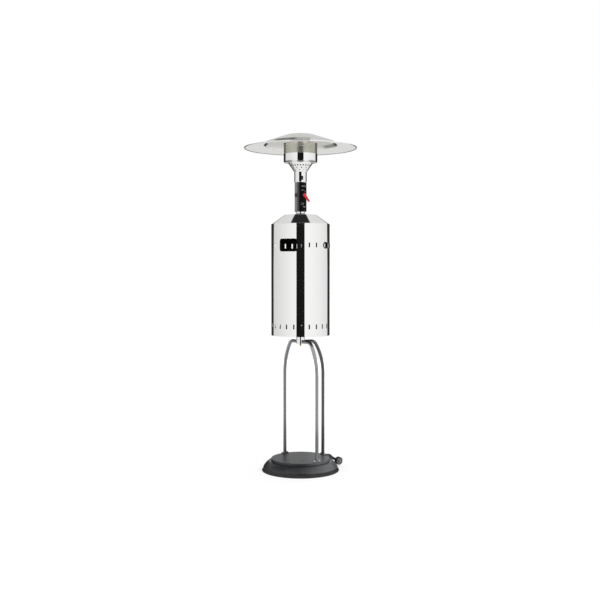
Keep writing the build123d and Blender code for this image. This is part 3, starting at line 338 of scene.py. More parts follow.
def object_axes(tree):
    """The object's own x, y and z."""
    return add_node(tree, "SeparateXYZ", {0: object_place(tree)}).outputs


def object_noise(tree, scale, detail, stretch=(1, 1, 1)):
    """Noise on the object's coordinates; a stretch under 1 draws it out along that axis."""
    drawn = add_node(tree, "Mapping", {"Vector": object_place(tree), "Scale": stretch}).outputs[0]
    return add_node(tree, "TexNoise", {"Vector": drawn, "Scale": scale, "Detail": detail}).outputs[0]


def effect_group(**inputs):
    """Turns a function of a tree and its inputs into a node group with the function's name."""
    def draw(effect):
        tree = bpy.data.node_groups.new(effect.__name__, "ShaderNodeTree")
        for label, value in inputs.items():
            socket = tree.interface.new_socket(label, in_out="INPUT", socket_type="NodeSocketFloat")
            socket.default_value = value
        tree.interface.new_socket("Result", in_out="OUTPUT", socket_type="NodeSocketFloat")
        given = tree.nodes.new("NodeGroupInput").outputs
        tree.links.new(effect(tree, given), tree.nodes.new("NodeGroupOutput").inputs["Result"])
        return tree
    return draw


@effect_group(Scale=9.0, Amount=1.0)
def smudges(tree, given):
    """Cloudy patches, as fingers and weather leave them."""
    cloud = between(tree, object_noise(tree, given["Scale"], 5.0), 0.42, 0.72)
    return product(tree, cloud, given["Amount"])


@effect_group(Scale=220.0)
def rolled_grain(tree, given):
    """Fine height drawn out sideways, as rolling leaves it in sheet metal."""
    return object_noise(tree, given["Scale"], 2.0, (0.06, 1.0, 1.0))


@effect_group(Scale=420.0)
def paint_skin(tree, given):
    """Fine even height, like the skin of an orange."""
    return object_noise(tree, given["Scale"], 1.5)


@effect_group()
def axis_reach(tree, given):
    """Distance from the heater's upright axis."""
    flat = add_node(tree, "VectorMath", {0: object_place(tree), 1: (1, 1, 0)}, operation="MULTIPLY")
    return add_node(tree, "VectorMath", {0: flat.outputs[0]}, operation="LENGTH").outputs["Value"]


@effect_group(Fade=0.42)
def faced(tree, given):
    """0 where a surface faces the eye, and 1 where it has turned away by the fade."""
    away = add_node(tree, "LayerWeight", {"Blend": 0.5}).outputs["Facing"]
    return add_node(tree, "Clamp", {"Value": calculate(tree, "DIVIDE", away, given["Fade"])}).outputs[0]


@effect_group(Amount=1.0, Scale=35.0)
def rubbed_edges(tree, given):
    """Sharp outer edges, broken up by noise."""
    sharp = between(tree, add_node(tree, "NewGeometry").outputs["Pointiness"], 0.52, 0.60)
    patchy = between(tree, object_noise(tree, given["Scale"], 4.0), 0.45, 0.62)
    return product(tree, sharp, patchy, given["Amount"])


@effect_group(Reach=0.25, Amount=0.5)
def floor_dust(tree, given):
    """Dust that thins out from the floor up to a reach."""
    share = calculate(tree, "DIVIDE", object_axes(tree)[2], given["Reach"])
    low = add_node(tree, "Clamp", {"Value": calculate(tree, "SUBTRACT", 1.0, share)}).outputs[0]
    settled = between(tree, object_noise(tree, 26.0, 5.0), 0.35, 0.7)
    return product(tree, low, settled, given["Amount"])


@effect_group(Start=0.0, End=0.2)
def lit_side(tree, given):
    """Painted light: 0 at the heater's left and 1 at its right, passing from a start to an end on x."""
    return between(tree, object_axes(tree)[0], given["Start"], given["End"])


print("effects:", ", ".join(group.name for group in bpy.data.node_groups))

# %% [markdown]
# ## Finishes
#
# Each material slot of the record gets one finish, kept in a dictionary under the slot's name.
# Colours are written as they look on a screen and turned into linear light once. A metal needs
# two things: the colour of its reflection, and how blurred that reflection is. One helper makes a
# whole finish. Its stain is an effect and the colour that the effect brings, its blur is a scale
# of smudges with the roughness outside and inside them, and its skin is a height effect with a
# scale and a depth in millimetres.

# %% Finish helpers
finishes = {}


def linear(red, green, blue):
    """Screen colour from 0 to 255 as linear light, with full alpha."""
    return [((value / 255 + 0.055) / 1.055) ** 2.4 if value > 10 else value / 255 / 12.92
            for value in (red, green, blue)] + [1.0]


def effect(tree, group, **values):
    """Output of an effect group placed in a material."""
    node = tree.nodes.new("ShaderNodeGroup")
    node.node_tree = group
    for name, value in values.items():
        node.inputs[name].default_value = value
    return node.outputs[0]


def mix_colour(tree, mask, plain, marked):
    """Colour that goes from plain to marked with a mask; each is a screen colour or a socket."""
    plain, marked = (side if isinstance(side, bpy.types.NodeSocket) else linear(*side)
                     for side in (plain, marked))
    return add_node(tree, "Mix", {0: mask, 6: plain, 7: marked}, data_type="RGBA").outputs[2]


def shade_colour(tree, shader, mask, plain, marked):
    """Base colour that goes from plain to marked with a mask."""
    tree.links.new(mix_colour(tree, mask, plain, marked), shader.inputs["Base Color"])


def finish(slot, colour, roughness, metallic=0.0, stain=None, plain=None, blur=None, skin=None, **sockets):
    """A new material for a slot, with its even values on the shader; gives its tree and shader."""
    finishes[slot], tree, shader = new_material(slot, Base_Color=linear(*colour), Roughness=roughness,
                                                Metallic=metallic, **sockets)
    if stain:
        group, settings, marked = stain
        shade_colour(tree, shader, effect(tree, group, **settings), plain or colour, marked)
    if blur:
        scale, amount, low, high = blur
        mask = effect(tree, smudges, Scale=scale, Amount=amount)
        tree.links.new(between(tree, mask, 0.0, 1.0, low, high), shader.inputs["Roughness"])
    if skin:
        group, scale, depth = skin
        height = effect(tree, group, Scale=scale)
        bump = add_node(tree, "Bump", {"Height": height, "Distance": depth * MM, "Strength": 1.0})
        tree.links.new(bump.outputs[0], shader.inputs["Normal"])
    print(slot, "of", len(tree.nodes), "nodes")
    return tree, shader


# %% [markdown]
# The housing, the pole, the burner's neck and its bowl are polished stainless steel. Its
# reflection is nearly sharp, and finger smudges blur it here and there. Grey patches painted on
# the fold at the bowl's foot, at both sides and in the middle, are painted dark reflections. The
# inside of the sheets is never polished and keeps a dull skin of the mill, and its dark colour is
# painted shade; that is what shows through the slots and the window. The reflector is rolled
# aluminium. The heat has dulled it near the dome, and its rolled rim is darker, except at the front.

# %% Polished steel and reflector aluminium
STEEL = (243, 243, 242)
PAINTED_FOLD_DARK = (118, 116, 112)
FOLD_TOP = (13 * MM, 2 * MM)
FOLD_FOOT = (-1.5 * MM, -0.5 * MM)
FOLD_SIDES = (0.040, 0.068)
FOLD_MIDDLE = (0.026, 0.014)
ALUMINIUM = (250, 250, 248)
DULLED = (218, 217, 212)
DULL_REACH = (0.246, 0.226)
RIM_DARK = (92, 92, 90)
RIM_DARK_REACH = (0.352, 0.353)
RIM_DARK_DEPTH = (-0.25, -0.05)

bowl_radius, bowl_low, bowl_high = sizes_of("burner_bowl")
tree, shader = finish("polished_steel", STEEL, 0.04, 1.0, blur=(4.0, 1.0, 0.03, 0.06))
across, _, rise = object_axes(tree)
aside = calculate(tree, "ABSOLUTE", across)
# Painted dark reflections: grey bands on the fold at the bowl's foot, at both sides and in the middle.
patches = calculate(tree, "MAXIMUM", between(tree, aside, *FOLD_SIDES), between(tree, aside, *FOLD_MIDDLE))
fold = product(tree, between(tree, rise, *(bowl_low + step for step in FOLD_TOP)),
               between(tree, rise, *(bowl_low + step for step in FOLD_FOOT)), patches)
shade_colour(tree, shader, fold, STEEL, PAINTED_FOLD_DARK)

# Painted shade: the inside faces of the sheets are dark, standing in for the shade inside the housing and
# the neck, over a dull mill skin.
finish("shaded_inside", (58, 57, 56), 0.72, 0.8, stain=(smudges, {"Scale": 11.0}, (88, 84, 78)))

tree, shader = finish("reflector_aluminium", ALUMINIUM, 0.16, 1.0, blur=(5.0, 1.0, 0.13, 0.22),
                      skin=(rolled_grain, 240.0, 0.012))
reach = effect(tree, axis_reach)
heated = mix_colour(tree, between(tree, reach, *DULL_REACH), ALUMINIUM, DULLED)
# The rolled rim is made darker everywhere but at the front.
darker_rim = product(tree, between(tree, reach, *RIM_DARK_REACH), between(tree, object_axes(tree)[1], *RIM_DARK_DEPTH))
shade_colour(tree, shader, darker_rim, heated, RIM_DARK)

# %% [markdown]
# The burner works at a dull red heat. Its screen has gone olive grey, and the bare steel round
# it has straw tints where it was hottest.

# %% Heated steels
finish("screen_steel", (180, 180, 167), 0.22, 0.9, plain=(184, 184, 171),
       stain=(smudges, {"Scale": 22.0, "Amount": 0.5}, (160, 158, 142)), skin=(paint_skin, 700.0, 0.02))
finish("burner_steel", (200, 196, 188), 0.28, 1.0, plain=(206, 202, 194),
       stain=(smudges, {"Scale": 14.0}, (168, 150, 118)), blur=(30.0, 1.0, 0.22, 0.40),
       skin=(rolled_grain, 300.0, 0.01))

# %% [markdown]
# The base wears a dark textured paint with a metallic flake, so it takes a broad soft shine. The
# platform has the same paint with the marks of the cylinder's foot. Dust lies on the base, its
# edges are rubbed, and both paints carry painted light: lighter at the right, darker at the left.

# %% Base paints and ballast
BASE_SHADED = (46, 47, 49)
BASE_LIT = (112, 113, 115)
BASE_WORN = (138, 136, 132)
PLATE_SHADED = (58, 60, 62)
PLATE_LIT = (102, 104, 106)
PLATE_MARKED = (70, 72, 74)

tree, shader = finish("painted_base", (84, 85, 88), 0.38, 0.55, blur=(16.0, 0.6, 0.35, 0.41),
                      skin=(paint_skin, 520.0, 0.06))
wear = effect(tree, rubbed_edges, Amount=0.5)
dust = effect(tree, floor_dust, Reach=0.07, Amount=0.16)
# Painted light and shade: the base paint is lighter at the right and darker at the left.
lit_and_shaded = mix_colour(tree, effect(tree, lit_side, Start=-0.02, End=0.25), BASE_SHADED, BASE_LIT)
shade_colour(tree, shader, calculate(tree, "MAXIMUM", wear, dust), lit_and_shaded, BASE_WORN)

tree, shader = finish("platform_paint", (104, 106, 108), 0.42, 0.45, blur=(20.0, 0.6, 0.39, 0.46),
                      skin=(paint_skin, 520.0, 0.06), Specular_IOR_Level=0.3)
# Painted light and shade: the platform paint is lighter at the right and darker at the left.
lit_and_shaded = mix_colour(tree, effect(tree, lit_side, Start=0.02, End=0.15), PLATE_SHADED, PLATE_LIT)
shade_colour(tree, shader, effect(tree, smudges, Scale=12.0, Amount=0.4), lit_and_shaded, PLATE_MARKED)

finish("ballast_iron", (70, 66, 62), 0.7, 0.6, stain=(smudges, {"Scale": 40.0}, (96, 70, 52)),
       skin=(paint_skin, 160.0, 0.3))

# %% [markdown]
# Rubber is nearly black and scatters light. What tells it from paint is a grey bloom of dust and
# scuffs low down, and no clear reflection anywhere.

# %% Rubber, plastics and bush
# The edge rubber's near black is its own colour, and also painted shade along the base's lower rim.
finish("edge_rubber", (15, 15, 16), 0.5, skin=(paint_skin, 900.0, 0.05),
       stain=(floor_dust, {"Reach": 0.03, "Amount": 0.30}, (70, 68, 64)))
finish("wheel_tyre", (24, 24, 25), 0.58, skin=(paint_skin, 1100.0, 0.05),
       stain=(floor_dust, {"Reach": 0.07, "Amount": 0.35}, (88, 84, 78)))
finish("wheel_plastic", (128, 128, 130), 0.45, skin=(paint_skin, 1500.0, 0.02),
       stain=(floor_dust, {"Reach": 0.08, "Amount": 0.30}, (104, 100, 94)))
finish("black_plastic", (20, 20, 21), 0.36, blur=(24.0, 1.0, 0.30, 0.46), skin=(paint_skin, 1800.0, 0.02))
finish("bush_nylon", (34, 34, 35), 0.48, skin=(paint_skin, 1500.0, 0.02))

# %% [markdown]
# The legs are bright steel tube under a clear grey lacquer, softer than the housing. Painted
# shade darkens the lacquer towards the back right, and more near the base. The fasteners are zinc
# plated, which is bright, a little blue and slightly mottled. The panel's screws are plated
# black.

# %% Legs, bracket, fasteners and brass
LACQUER = (168, 170, 172)
LACQUER_SHADED = (106, 107, 109)
LOW_SHADED = (40, 40, 41)
SHADE_REACH = (-0.04, 0.12)
LOW_SHADE_HEIGHT = (0.34, 0.20)
LOW_SHADE_SHARE = 0.42

tree, shader = finish("leg_steel", (150, 152, 154), 0.24, 1.0, blur=(12.0, 1.0, 0.30, 0.38))
across, back, rise = object_axes(tree)
# Painted shade: the lacquer darkens towards the back right, and near the base.
back_shade = between(tree, calculate(tree, "ADD", across, back), *SHADE_REACH)
low_shade = product(tree, between(tree, rise, *LOW_SHADE_HEIGHT), LOW_SHADE_SHARE)
shade_colour(tree, shader, low_shade, mix_colour(tree, back_shade, LACQUER, LACQUER_SHADED), LOW_SHADED)

finish("zinc_fastener", (205, 209, 214), 0.26, 1.0, plain=(208, 212, 216),
       stain=(smudges, {"Scale": 120.0}, (180, 182, 180)), blur=(160.0, 1.0, 0.20, 0.38))
finish("black_zinc", (44, 44, 46), 0.42, 0.85, stain=(smudges, {"Scale": 140.0}, (60, 60, 60)))
finish("black_bracket", (26, 26, 27), 0.40, skin=(paint_skin, 600.0, 0.05),
       stain=(rubbed_edges, {"Amount": 0.8, "Scale": 60.0}, (120, 120, 122)))
finish("valve_brass", (196, 166, 98), 0.28, 1.0, plain=(198, 168, 100),
       stain=(smudges, {"Scale": 60.0}, (150, 118, 66)))

# %% [markdown]
# The control head is satin metal with a painted reflection: its colour is dark face on and turns
# light towards its sides. A gloss black panel goes round the lever. The lever and the cap of its
# spindle are the one bright colour on the heater, a moulded red plastic. The panel's marks are printed in
# grey ink.

# %% Control head finishes
FACE_ON_DARK = (26, 26, 26)
# Painted reflection: the colour is dark where the head faces the eye and light towards its sides.
finish("control_paint", (168, 167, 165), 0.52, 0.95, stain=(faced, {"Fade": 0.42}, (168, 167, 165)),
       plain=FACE_ON_DARK, blur=(26.0, 1.0, 0.50, 0.58), skin=(paint_skin, 800.0, 0.02))
finish("panel_gloss", (9, 9, 10), 0.16, blur=(34.0, 1.0, 0.14, 0.26), Specular_IOR_Level=0.06)
finish("lever_red", (196, 26, 38), 0.30, skin=(paint_skin, 1600.0, 0.01),
       stain=(rubbed_edges, {"Amount": 0.5, "Scale": 140.0}, (236, 120, 124)))
finish("panel_ink", (186, 186, 184), 0.5, stain=(smudges, {"Scale": 300.0, "Amount": 0.5}, (150, 150, 148)))

# %% [markdown]
# Every CAD node takes its finish first. Most nodes are replaced further on by a finer piece, and
# those that aren't are already dressed. The tube and the head inside the burner are dull with
# soot, and like the inside of the sheets round them they are painted dark as painted shade.

# %% Dress the CAD nodes
# These two nodes take the dark inside finish: real soot, and painted shade.
SOOTED_IN_SHADE = ("mixing_tube", "burner_head")
for name, node in frame["nodes"].items():
    node.data.materials.clear()
    node.data.materials.append(finishes["shaded_inside" if name in SOOTED_IN_SHADE else slot_of[name]])
print("dressed", len(frame["nodes"]), "nodes")

# %% [markdown]
# ## Ways of making a piece
#
# Three ways make nearly every piece here. A round part is an outline spun about the axis. A sheet
# part is a flat blank with its openings cut, given its thickness and then rolled, as in the
# workshop. Small solid parts are extruded from a circle or a hull. All of them end in the same
# step, which closes the seams, turns the faces outwards, smooths the round faces and hangs the
# piece on the CAD body of the node that it stands for. An outline is written from the corners it
# goes round: a corner in metres, and steps from it in millimetres.

# %% Piece helpers
SPIN_STEPS = 160
SAME_PLACE = 1e-6
FACES_OUT = 0.5
CENTRE = (0, 0, 0)
UP = (0, 0, 1)


def near(reach, height, *steps):
    """Outline points by their steps, in millimetres, from a corner."""
    return [(reach + across * MM, height + rise * MM) for across, rise in steps]


def arc(start, through, end, steps):
    """Points of the round curve through three (reach, height) points, ends included."""
    (ax, az), (bx, bz), (cx, cz) = start, through, end
    turn = 2 * (ax * (bz - cz) + bx * (cz - az) + cx * (az - bz))
    squares = ax * ax + az * az, bx * bx + bz * bz, cx * cx + cz * cz
    middle = Vector(((squares[0] * (bz - cz) + squares[1] * (cz - az) + squares[2] * (az - bz)) / turn,
                     (squares[0] * (cx - bx) + squares[1] * (ax - cx) + squares[2] * (bx - ax)) / turn))
    first, last = Vector(start) - middle, Vector(end) - middle
    turn = first.angle_signed(last) / steps
    return [tuple(middle + Matrix.Rotation(-turn * number, 2) @ first) for number in range(steps + 1)]


def only(kind, items):
    """The vertices or the edges among mesh items."""
    return [item for item in items if isinstance(item, kind)]


def verts_of(edges):
    """All vertices of some edges."""
    return list({vert for edge in edges for vert in edge.verts})


def spin_outline(bm, outline, closed=True, angle=360.0, steps=SPIN_STEPS):
    """Turns a (reach, height) outline about the upright axis; a part turn gets flat ends."""
    points = [bm.verts.new((reach, 0, height)) for reach, height in outline]
    pairs = list(zip(points, points[1:])) + ([(points[-1], points[0])] if closed else [])
    start = points + [bm.edges.new(pair) for pair in pairs]
    if closed and angle < 360.0:
        start.append(bm.faces.new(points))
    before = set(bm.faces)
    bmesh.ops.spin(bm, geom=start, cent=CENTRE, axis=UP, dvec=CENTRE, angle=radians(angle),
                   steps=steps, use_merge=angle == 360.0)
    bmesh.ops.remove_doubles(bm, verts=bm.verts, dist=SAME_PLACE)
    return [face for face in bm.faces if face not in before]


def thicken(bm, path):
    """Extrudes all faces of a flat blank along a path."""
    made = bmesh.ops.extrude_face_region(bm, geom=bm.faces[:])["geom"]
    bmesh.ops.translate(bm, verts=only(bmesh.types.BMVert, made), vec=path)


def soften(bm, width, segments=2, corner=40.0):
    """Bevels every edge that is sharper than a corner angle."""
    bmesh.ops.recalc_face_normals(bm, faces=bm.faces)
    edges = [edge for edge in bm.edges if edge.is_manifold and edge.calc_face_angle(0) > radians(corner)]
    bmesh.ops.bevel(bm, geom=edges, offset=width, affect="EDGES", segments=segments, profile=0.5,
                    material=-1, clamp_overlap=True)


def make_piece(bm, name, node, smooth=32.0, wall_normal=None, shade_inside=False, look=None):
    """Turns mesh work into a piece that stands for a CAD node, on its body and in its slot.

    A shaded inside gives all but the outer face of a sheet the dark inside finish, which is painted shade.
    """
    bmesh.ops.remove_doubles(bm, verts=bm.verts, dist=SAME_PLACE)
    bmesh.ops.recalc_face_normals(bm, faces=bm.faces)
    mesh = bpy.data.meshes.new(name)
    bm.to_mesh(mesh)
    bm.free()
    mesh.shade_smooth()
    mesh.set_sharp_from_angle(angle=radians(smooth))
    mesh.materials.append(finishes[look or slot_of[node]])
    if shade_inside:
        mesh.materials.append(finishes["shaded_inside"])
        for face in mesh.polygons:
            face.material_index = int(face.normal.dot(upright_wall(face.center)) < FACES_OUT)
    piece = bpy.data.objects.new(name, mesh)
    scene.collection.objects.link(piece)
    if wall_normal:
        true_normals(mesh, wall_normal)
    else:
        piece.modifiers.new("even_shading", "WEIGHTED_NORMAL").keep_sharp = True
    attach(piece, home[node])
    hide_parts(node)
    print(name, len(mesh.polygons), "faces")


def spun_piece(name, node, outline, wall=0.0, smooth=32.0, closed=True, steps=SPIN_STEPS):
    """A piece of one spun outline; with a wall, the outline is the outer face of a sheet."""
    bm = bmesh.new()
    faces = spin_outline(bm, outline, closed=closed and not wall, steps=steps)
    if wall:
        bmesh.ops.recalc_face_normals(bm, faces=faces)
        bmesh.ops.solidify(bm, geom=faces, thickness=wall)
    make_piece(bm, name, node, smooth=smooth)


# %% [markdown]
# A mirror shows every error of its normals. On a spun part they come out right by themselves, but
# a rolled sheet has cut edges and uneven triangles that would bend the reflection. Its normals
# are therefore set from the shape that the sheet is rolled to.

# %% Rolled sheet helpers
ON_WALL = 0.97
HOLE_EASE = 0.01 * MM


def true_normals(mesh, wall_normal):
    """Sets each corner's normal to the rolled wall's own, and leaves cut edges flat."""
    normals = []
    for face in mesh.polygons:
        for number in face.vertices:
            wall = wall_normal(mesh.vertices[number].co)
            lean = wall.dot(face.normal)
            normals.append(wall * copysign(1, lean) if abs(lean) > ON_WALL else face.normal.copy())
    mesh.normals_split_custom_set(normals)


def upright_wall(place):
    """Normal of an upright round wall at a place."""
    return Vector((place.x, place.y, 0)).normalized()


def round_opening(bm, middle, width, height, corner, segments=24):
    """Edges of a flat outline: a circle whose quarters are moved apart."""
    face_on = Matrix.Rotation(pi / 2, 4, "X") @ Matrix.Rotation(pi / segments, 4, "Z")
    circle = bmesh.ops.create_circle(bm, segments=segments, radius=corner, matrix=face_on)["verts"]
    for vert in circle:
        vert.co.x += copysign(width / 2 - corner, vert.co.x) + middle[0]
        vert.co.z += copysign(height / 2 - corner, vert.co.z) + middle[1]
    return list({edge for vert in circle for edge in vert.link_edges})


def round_hole(bm, middle, radius, segments):
    """Edges of a flat round hole."""
    return round_opening(bm, middle, 2 * radius, 2 * radius, radius - HOLE_EASE, segments)


def border(bm, half, low, high):
    """Edges of a flat rectangle, cut square."""
    corners = [bm.verts.new((x, 0, z)) for x, z in ((-half, low), (half, low), (half, high), (-half, high))]
    return [bm.edges.new(pair) for pair in zip(corners, corners[1:] + corners[:1])]


def slice_blank(bm, place, direction):
    """Cuts all the faces of a blank where a plane crosses them."""
    bmesh.ops.bisect_plane(bm, geom=bm.verts[:] + bm.edges[:] + bm.faces[:], dist=1e-7, plane_co=place,
                           plane_no=direction)


def cut_blank(bm, edges, thickness, step, folds=()):
    """Fills flat outlines, cuts the blank into narrow upright strips and gives it its thickness."""
    bmesh.ops.triangle_fill(bm, edges=edges, use_beauty=True, normal=(0, -1, 0))
    across = [vert.co.x for vert in bm.verts]
    for number in range(int(min(across) / step), int(max(across) / step) + 1):
        slice_blank(bm, (number * step, 0, 0), (1, 0, 0))
    for fold in folds:
        slice_blank(bm, (0, 0, fold), UP)
    print("blank of", len(bm.verts), "points a side")
    thicken(bm, (0, thickness, 0))


def roll(bm, radius, bearing=0.0, reach_at=None):
    """Rolls a flat blank about the upright axis; x is measured round the wall, and y inwards."""
    for vert in bm.verts:
        reach = (reach_at(vert.co.z) if reach_at else radius) - vert.co.y
        vert.co = outward(bearing + degrees(vert.co.x / radius), reach, vert.co.z)


def rolled_ring(bm, size, section, height, radius, bearing, segments, ease=0.0):
    """A rolled ring round an opening; its section is steps of growth and of height over the wall."""
    loops = []
    for growth, proud in near(0, 0, *section):
        width, depth = (side + 2 * growth for side in size)
        loops.append(round_opening(bm, (0, height), width, depth, depth / 2 - ease, segments))
        bmesh.ops.translate(bm, verts=verts_of(loops[-1]), vec=(0, -proud, 0))
    for first, second in zip(loops, loops[1:] + loops[:1]):
        bmesh.ops.bridge_loops(bm, edges=first + second)
    roll(bm, radius, bearing)


def wrapped(bearing):
    """A bearing between -180 and 180 degrees."""
    return (bearing + 180) % 360 - 180


def round_wall(radius, bearing):
    """Distance round a wall from the front to a bearing."""
    return radius * radians(wrapped(bearing))


# %% [markdown]
# ## The cylinder housing
#
# On the real heater the housing is one sheet of polished steel, one millimetre thick, pierced
# with vent slots, a window for the valve and two hand holes, and then rolled and welded down the
# back. It is made the same way here: every opening is cut in the flat, where it is easy to draw.
# The upper slots leave room for the window and the hand holes. The bottom edge is turned inwards
# into a hem, so no bare edge is left where hands reach, and the two ends of the sheet meet at the
# back in a flat weld.

# %% Housing sheet
SLOT_COUNT = 24
SLOT_FIRST = 2.1
SLOT_SIZE = (9 * MM, 30 * MM)
SLOT_CORNER = 1 * MM
SLOT_RISE = 63 * MM
SLOT_DROP = 136.7 * MM
WINDOW_BEARING = -25.0
WINDOW_SIZE = (125 * MM, 81 * MM)
WINDOW_CORNER = 16 * MM
WINDOW_CLEAR = 22
GRIP_BEARINGS = (66.0, 246.0)
GRIP_NECK = (101 * MM, 37 * MM)
GRIP_CLEAR = 19
SHEET = 1 * MM
STRIP = radians(2.5)
HEM = ((0, 0), (0, 10), (-0.18, 10), (-0.45, 9.1), (-0.45, 0))
WELD = Vector((3 * MM, 0.5 * MM, housing_high - housing_low - 2 * MM))

low_slots = housing_low + SLOT_RISE
high_slots = housing_high - SLOT_DROP

blank = bmesh.new()
outlines = border(blank, pi * housing_radius, housing_low, housing_high)
for number in range(SLOT_COUNT):
    bearing = SLOT_FIRST + number * 360 / SLOT_COUNT
    upper_is_free = (abs(wrapped(bearing - WINDOW_BEARING)) > WINDOW_CLEAR
                     and min(abs(wrapped(bearing - grip)) for grip in GRIP_BEARINGS) > GRIP_CLEAR)
    for height in (low_slots, high_slots)[:1 + upper_is_free]:
        middle = (round_wall(housing_radius, bearing), height)
        outlines += round_opening(blank, middle, *SLOT_SIZE, SLOT_CORNER, 12)
for bearing, size, corner in ((WINDOW_BEARING, WINDOW_SIZE, WINDOW_CORNER),
                              *((grip, GRIP_NECK, GRIP_NECK[1] / 2) for grip in GRIP_BEARINGS)):
    outlines += round_opening(blank, (round_wall(housing_radius, bearing), high_slots), *size, corner, 48)
cut_blank(blank, outlines, SHEET, STRIP * housing_radius)
roll(blank, housing_radius)
spin_outline(blank, near(housing_radius - SHEET, housing_low, *HEM))
weld = bmesh.ops.create_cube(blank, size=1.0)["verts"]
bmesh.ops.scale(blank, verts=weld, vec=WELD)
bmesh.ops.translate(blank, verts=weld, vec=(0, housing_radius, (housing_high + housing_low) / 2))
make_piece(blank, "housing_sheet", "housing_shell", wall_normal=upright_wall, shade_inside=True)

# %% [markdown]
# The roof is a spun cone. Its skirt fits inside the housing, where six rivets hold it. The edge
# between cone and flat top is rolled, not sharp, and catches a thin bright line.

# %% Housing roof
_, roof_low, roof_high = sizes_of("housing_roof")
ROOF_FLAT = 103 * MM
ROOF_BORE = pole_radius + 3 * MM

spun_piece("housing_cone", "housing_roof", near(housing_radius, roof_low, (-1.1, 0))
           + near(housing_radius, housing_high, (-1.1, -0.2), (0, 0), (-0.8, 0.8))
           + near(ROOF_FLAT, roof_high, (2.4, -1.7), (0, -0.35), (-3, 0)) + [(ROOF_BORE, roof_high)],
           wall=SHEET, smooth=40)

# %% [markdown]
# ## Small round parts
#
# Rivets, washers, bushes and caps are all spun outlines, set at a place and along a direction.
# One helper makes them, so that a row of rivets is a loop with one line in it.

# %% Small part helpers


def set_down(bm, part, place, direction):
    """Moves one mesh work into another, at a place and along a direction."""
    turn = Vector(direction).to_track_quat("Z", "Y").to_matrix().to_4x4()
    part.transform(Matrix.Translation(place) @ turn)
    add_mesh(bm, part)


def add_mesh(bm, part):
    """Moves one mesh work into another."""
    held = bpy.data.meshes.new("held")
    part.to_mesh(held)
    part.free()
    bm.from_mesh(held)
    bpy.data.meshes.remove(held)


def spin_part(bm, outline, place=CENTRE, direction=UP, steps=32, closed=False):
    """Spins a small outline about its own axis and sets it at a place, along a direction."""
    part = bmesh.new()
    spin_outline(part, outline, closed=closed, steps=steps)
    bmesh.ops.recalc_face_normals(part, faces=part.faces)
    set_down(bm, part, place, direction)


def disc(radius, low, high, ease):
    """Outline of a disc or rod with eased edges."""
    return [(0, low), (radius - ease, low), (radius, low + ease), (radius, high - ease),
            (radius - ease, high), (0, high)]


def domed(radius, height, low=0.0, steps=5):
    """Outline of a domed head that stands on a height, from its rim to its middle."""
    angles = [pi / 2 * number / steps for number in range(steps + 1)]
    return [(0, low)] + [(radius * cos(angle), low + height * sin(angle)) for angle in angles]


def hex_solid(bm, flats, low, high, place, direction=UP, bevel=0.4 * MM):
    """Hexagon bar end of a width over its flats, with its edges broken."""
    part = bmesh.new()
    circle = bmesh.ops.create_circle(part, cap_ends=True, segments=6, radius=flats / 2 / cos(pi / 6))
    bmesh.ops.translate(part, verts=circle["verts"], vec=(0, 0, low))
    thicken(part, (0, 0, high - low))
    soften(part, bevel)
    set_down(bm, part, place, direction)


def middle_height(node):
    """Height of the middle of a node."""
    return (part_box(node)[0][2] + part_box(node)[1][2]) / 2


# %% [markdown]
# Six rivets with small domed heads hold the roof's skirt. The guide bush is the nylon sleeve that
# the housing slides on. It goes through the roof with a flange that rests on it, and leaves a
# third of a millimetre of play round the pole.

# %% Rivets and guide bush
RIVET_COUNT = 6
RIVET_FIRST = 30
RIVET_HEAD = (3 * MM, 1.2 * MM)
RIVET_DIP = 0.05 * MM

rivets = bmesh.new()
for number in range(RIVET_COUNT):
    bearing = RIVET_FIRST + number * 360 / RIVET_COUNT
    seat = outward(bearing, housing_radius - RIVET_DIP, middle_height("roof_rivets"))
    spin_part(rivets, domed(*RIVET_HEAD), seat, outward(bearing, 1))
make_piece(rivets, "housing_rivets", "roof_rivets")

bush_radius, bush_low, bush_high = sizes_of("guide_bush")
BUSH_NECK = 32 * MM
spun_piece("guide_collar", "guide_bush", near(pole_radius, bush_low, (0.3, 0), (2.8, 0))
           + near(pole_radius, roof_high, (2.8, 0))
           + near(bush_radius, roof_high, (0, 0), (0, 1.4), (-0.6, 2)) + near(BUSH_NECK, roof_high, (0, 2))
           + near(BUSH_NECK, bush_high, (0, -1.5), (-1.5, 0)) + near(pole_radius, bush_high, (0.3, 0)))

# %% [markdown]
# Each hand hole is lined with a moulded ring, because the cut steel would be sharp. The ring is a
# stadium-shaped section carried round the hole: loops of the same outline, each a little wider or
# deeper than the last, are bridged into a closed rim and rolled to the housing's curve.

# %% Hand grips
GRIP_OPENING = (94 * MM, 30 * MM)
GRIP_SECTION = ((0, -6), (0, 0.8), (0.5, 1.9), (1.5, 2.4), (4.8, 2.4), (6.3, 1.8), (7, 0.9), (7, 0.2),
                (3.3, 0.2), (3.3, -6))

for bearing, side in zip(GRIP_BEARINGS, ("right", "left")):
    ring = bmesh.new()
    rolled_ring(ring, GRIP_OPENING, GRIP_SECTION, high_slots, housing_radius, bearing, 64)
    make_piece(ring, f"hand_hole_ring_{side}", f"grip_{side}", smooth=50)

# %% [markdown]
# ## The base
#
# The hood is one spinning: a straight skirt, a crowned side, a flat land and a raised seat for
# the platform. A rubber edge carries it and is all that touches the floor. The platform is a
# shallow pan turned upside down, with a rounded rim.

# %% Base
ring_radius, _, ring_high = sizes_of("base_edge_ring")
skirt_radius, _, hood_high = sizes_of("base_shell")
plate_radius, plate_low, plate_high = sizes_of("cylinder_platform")
SKIRT_TOP = 27 * MM
SKIRT_FOOT = 2.2 * MM
LAND = (207 * MM, 61.5 * MM)
CROWN_THROUGH = (224 * MM, 47.5 * MM)
SEAT_RADIUS = 187.6 * MM
HOOD_BORE = 50 * MM
RUBBER_BORE = 234 * MM
BASE_SHEET = 2 * MM

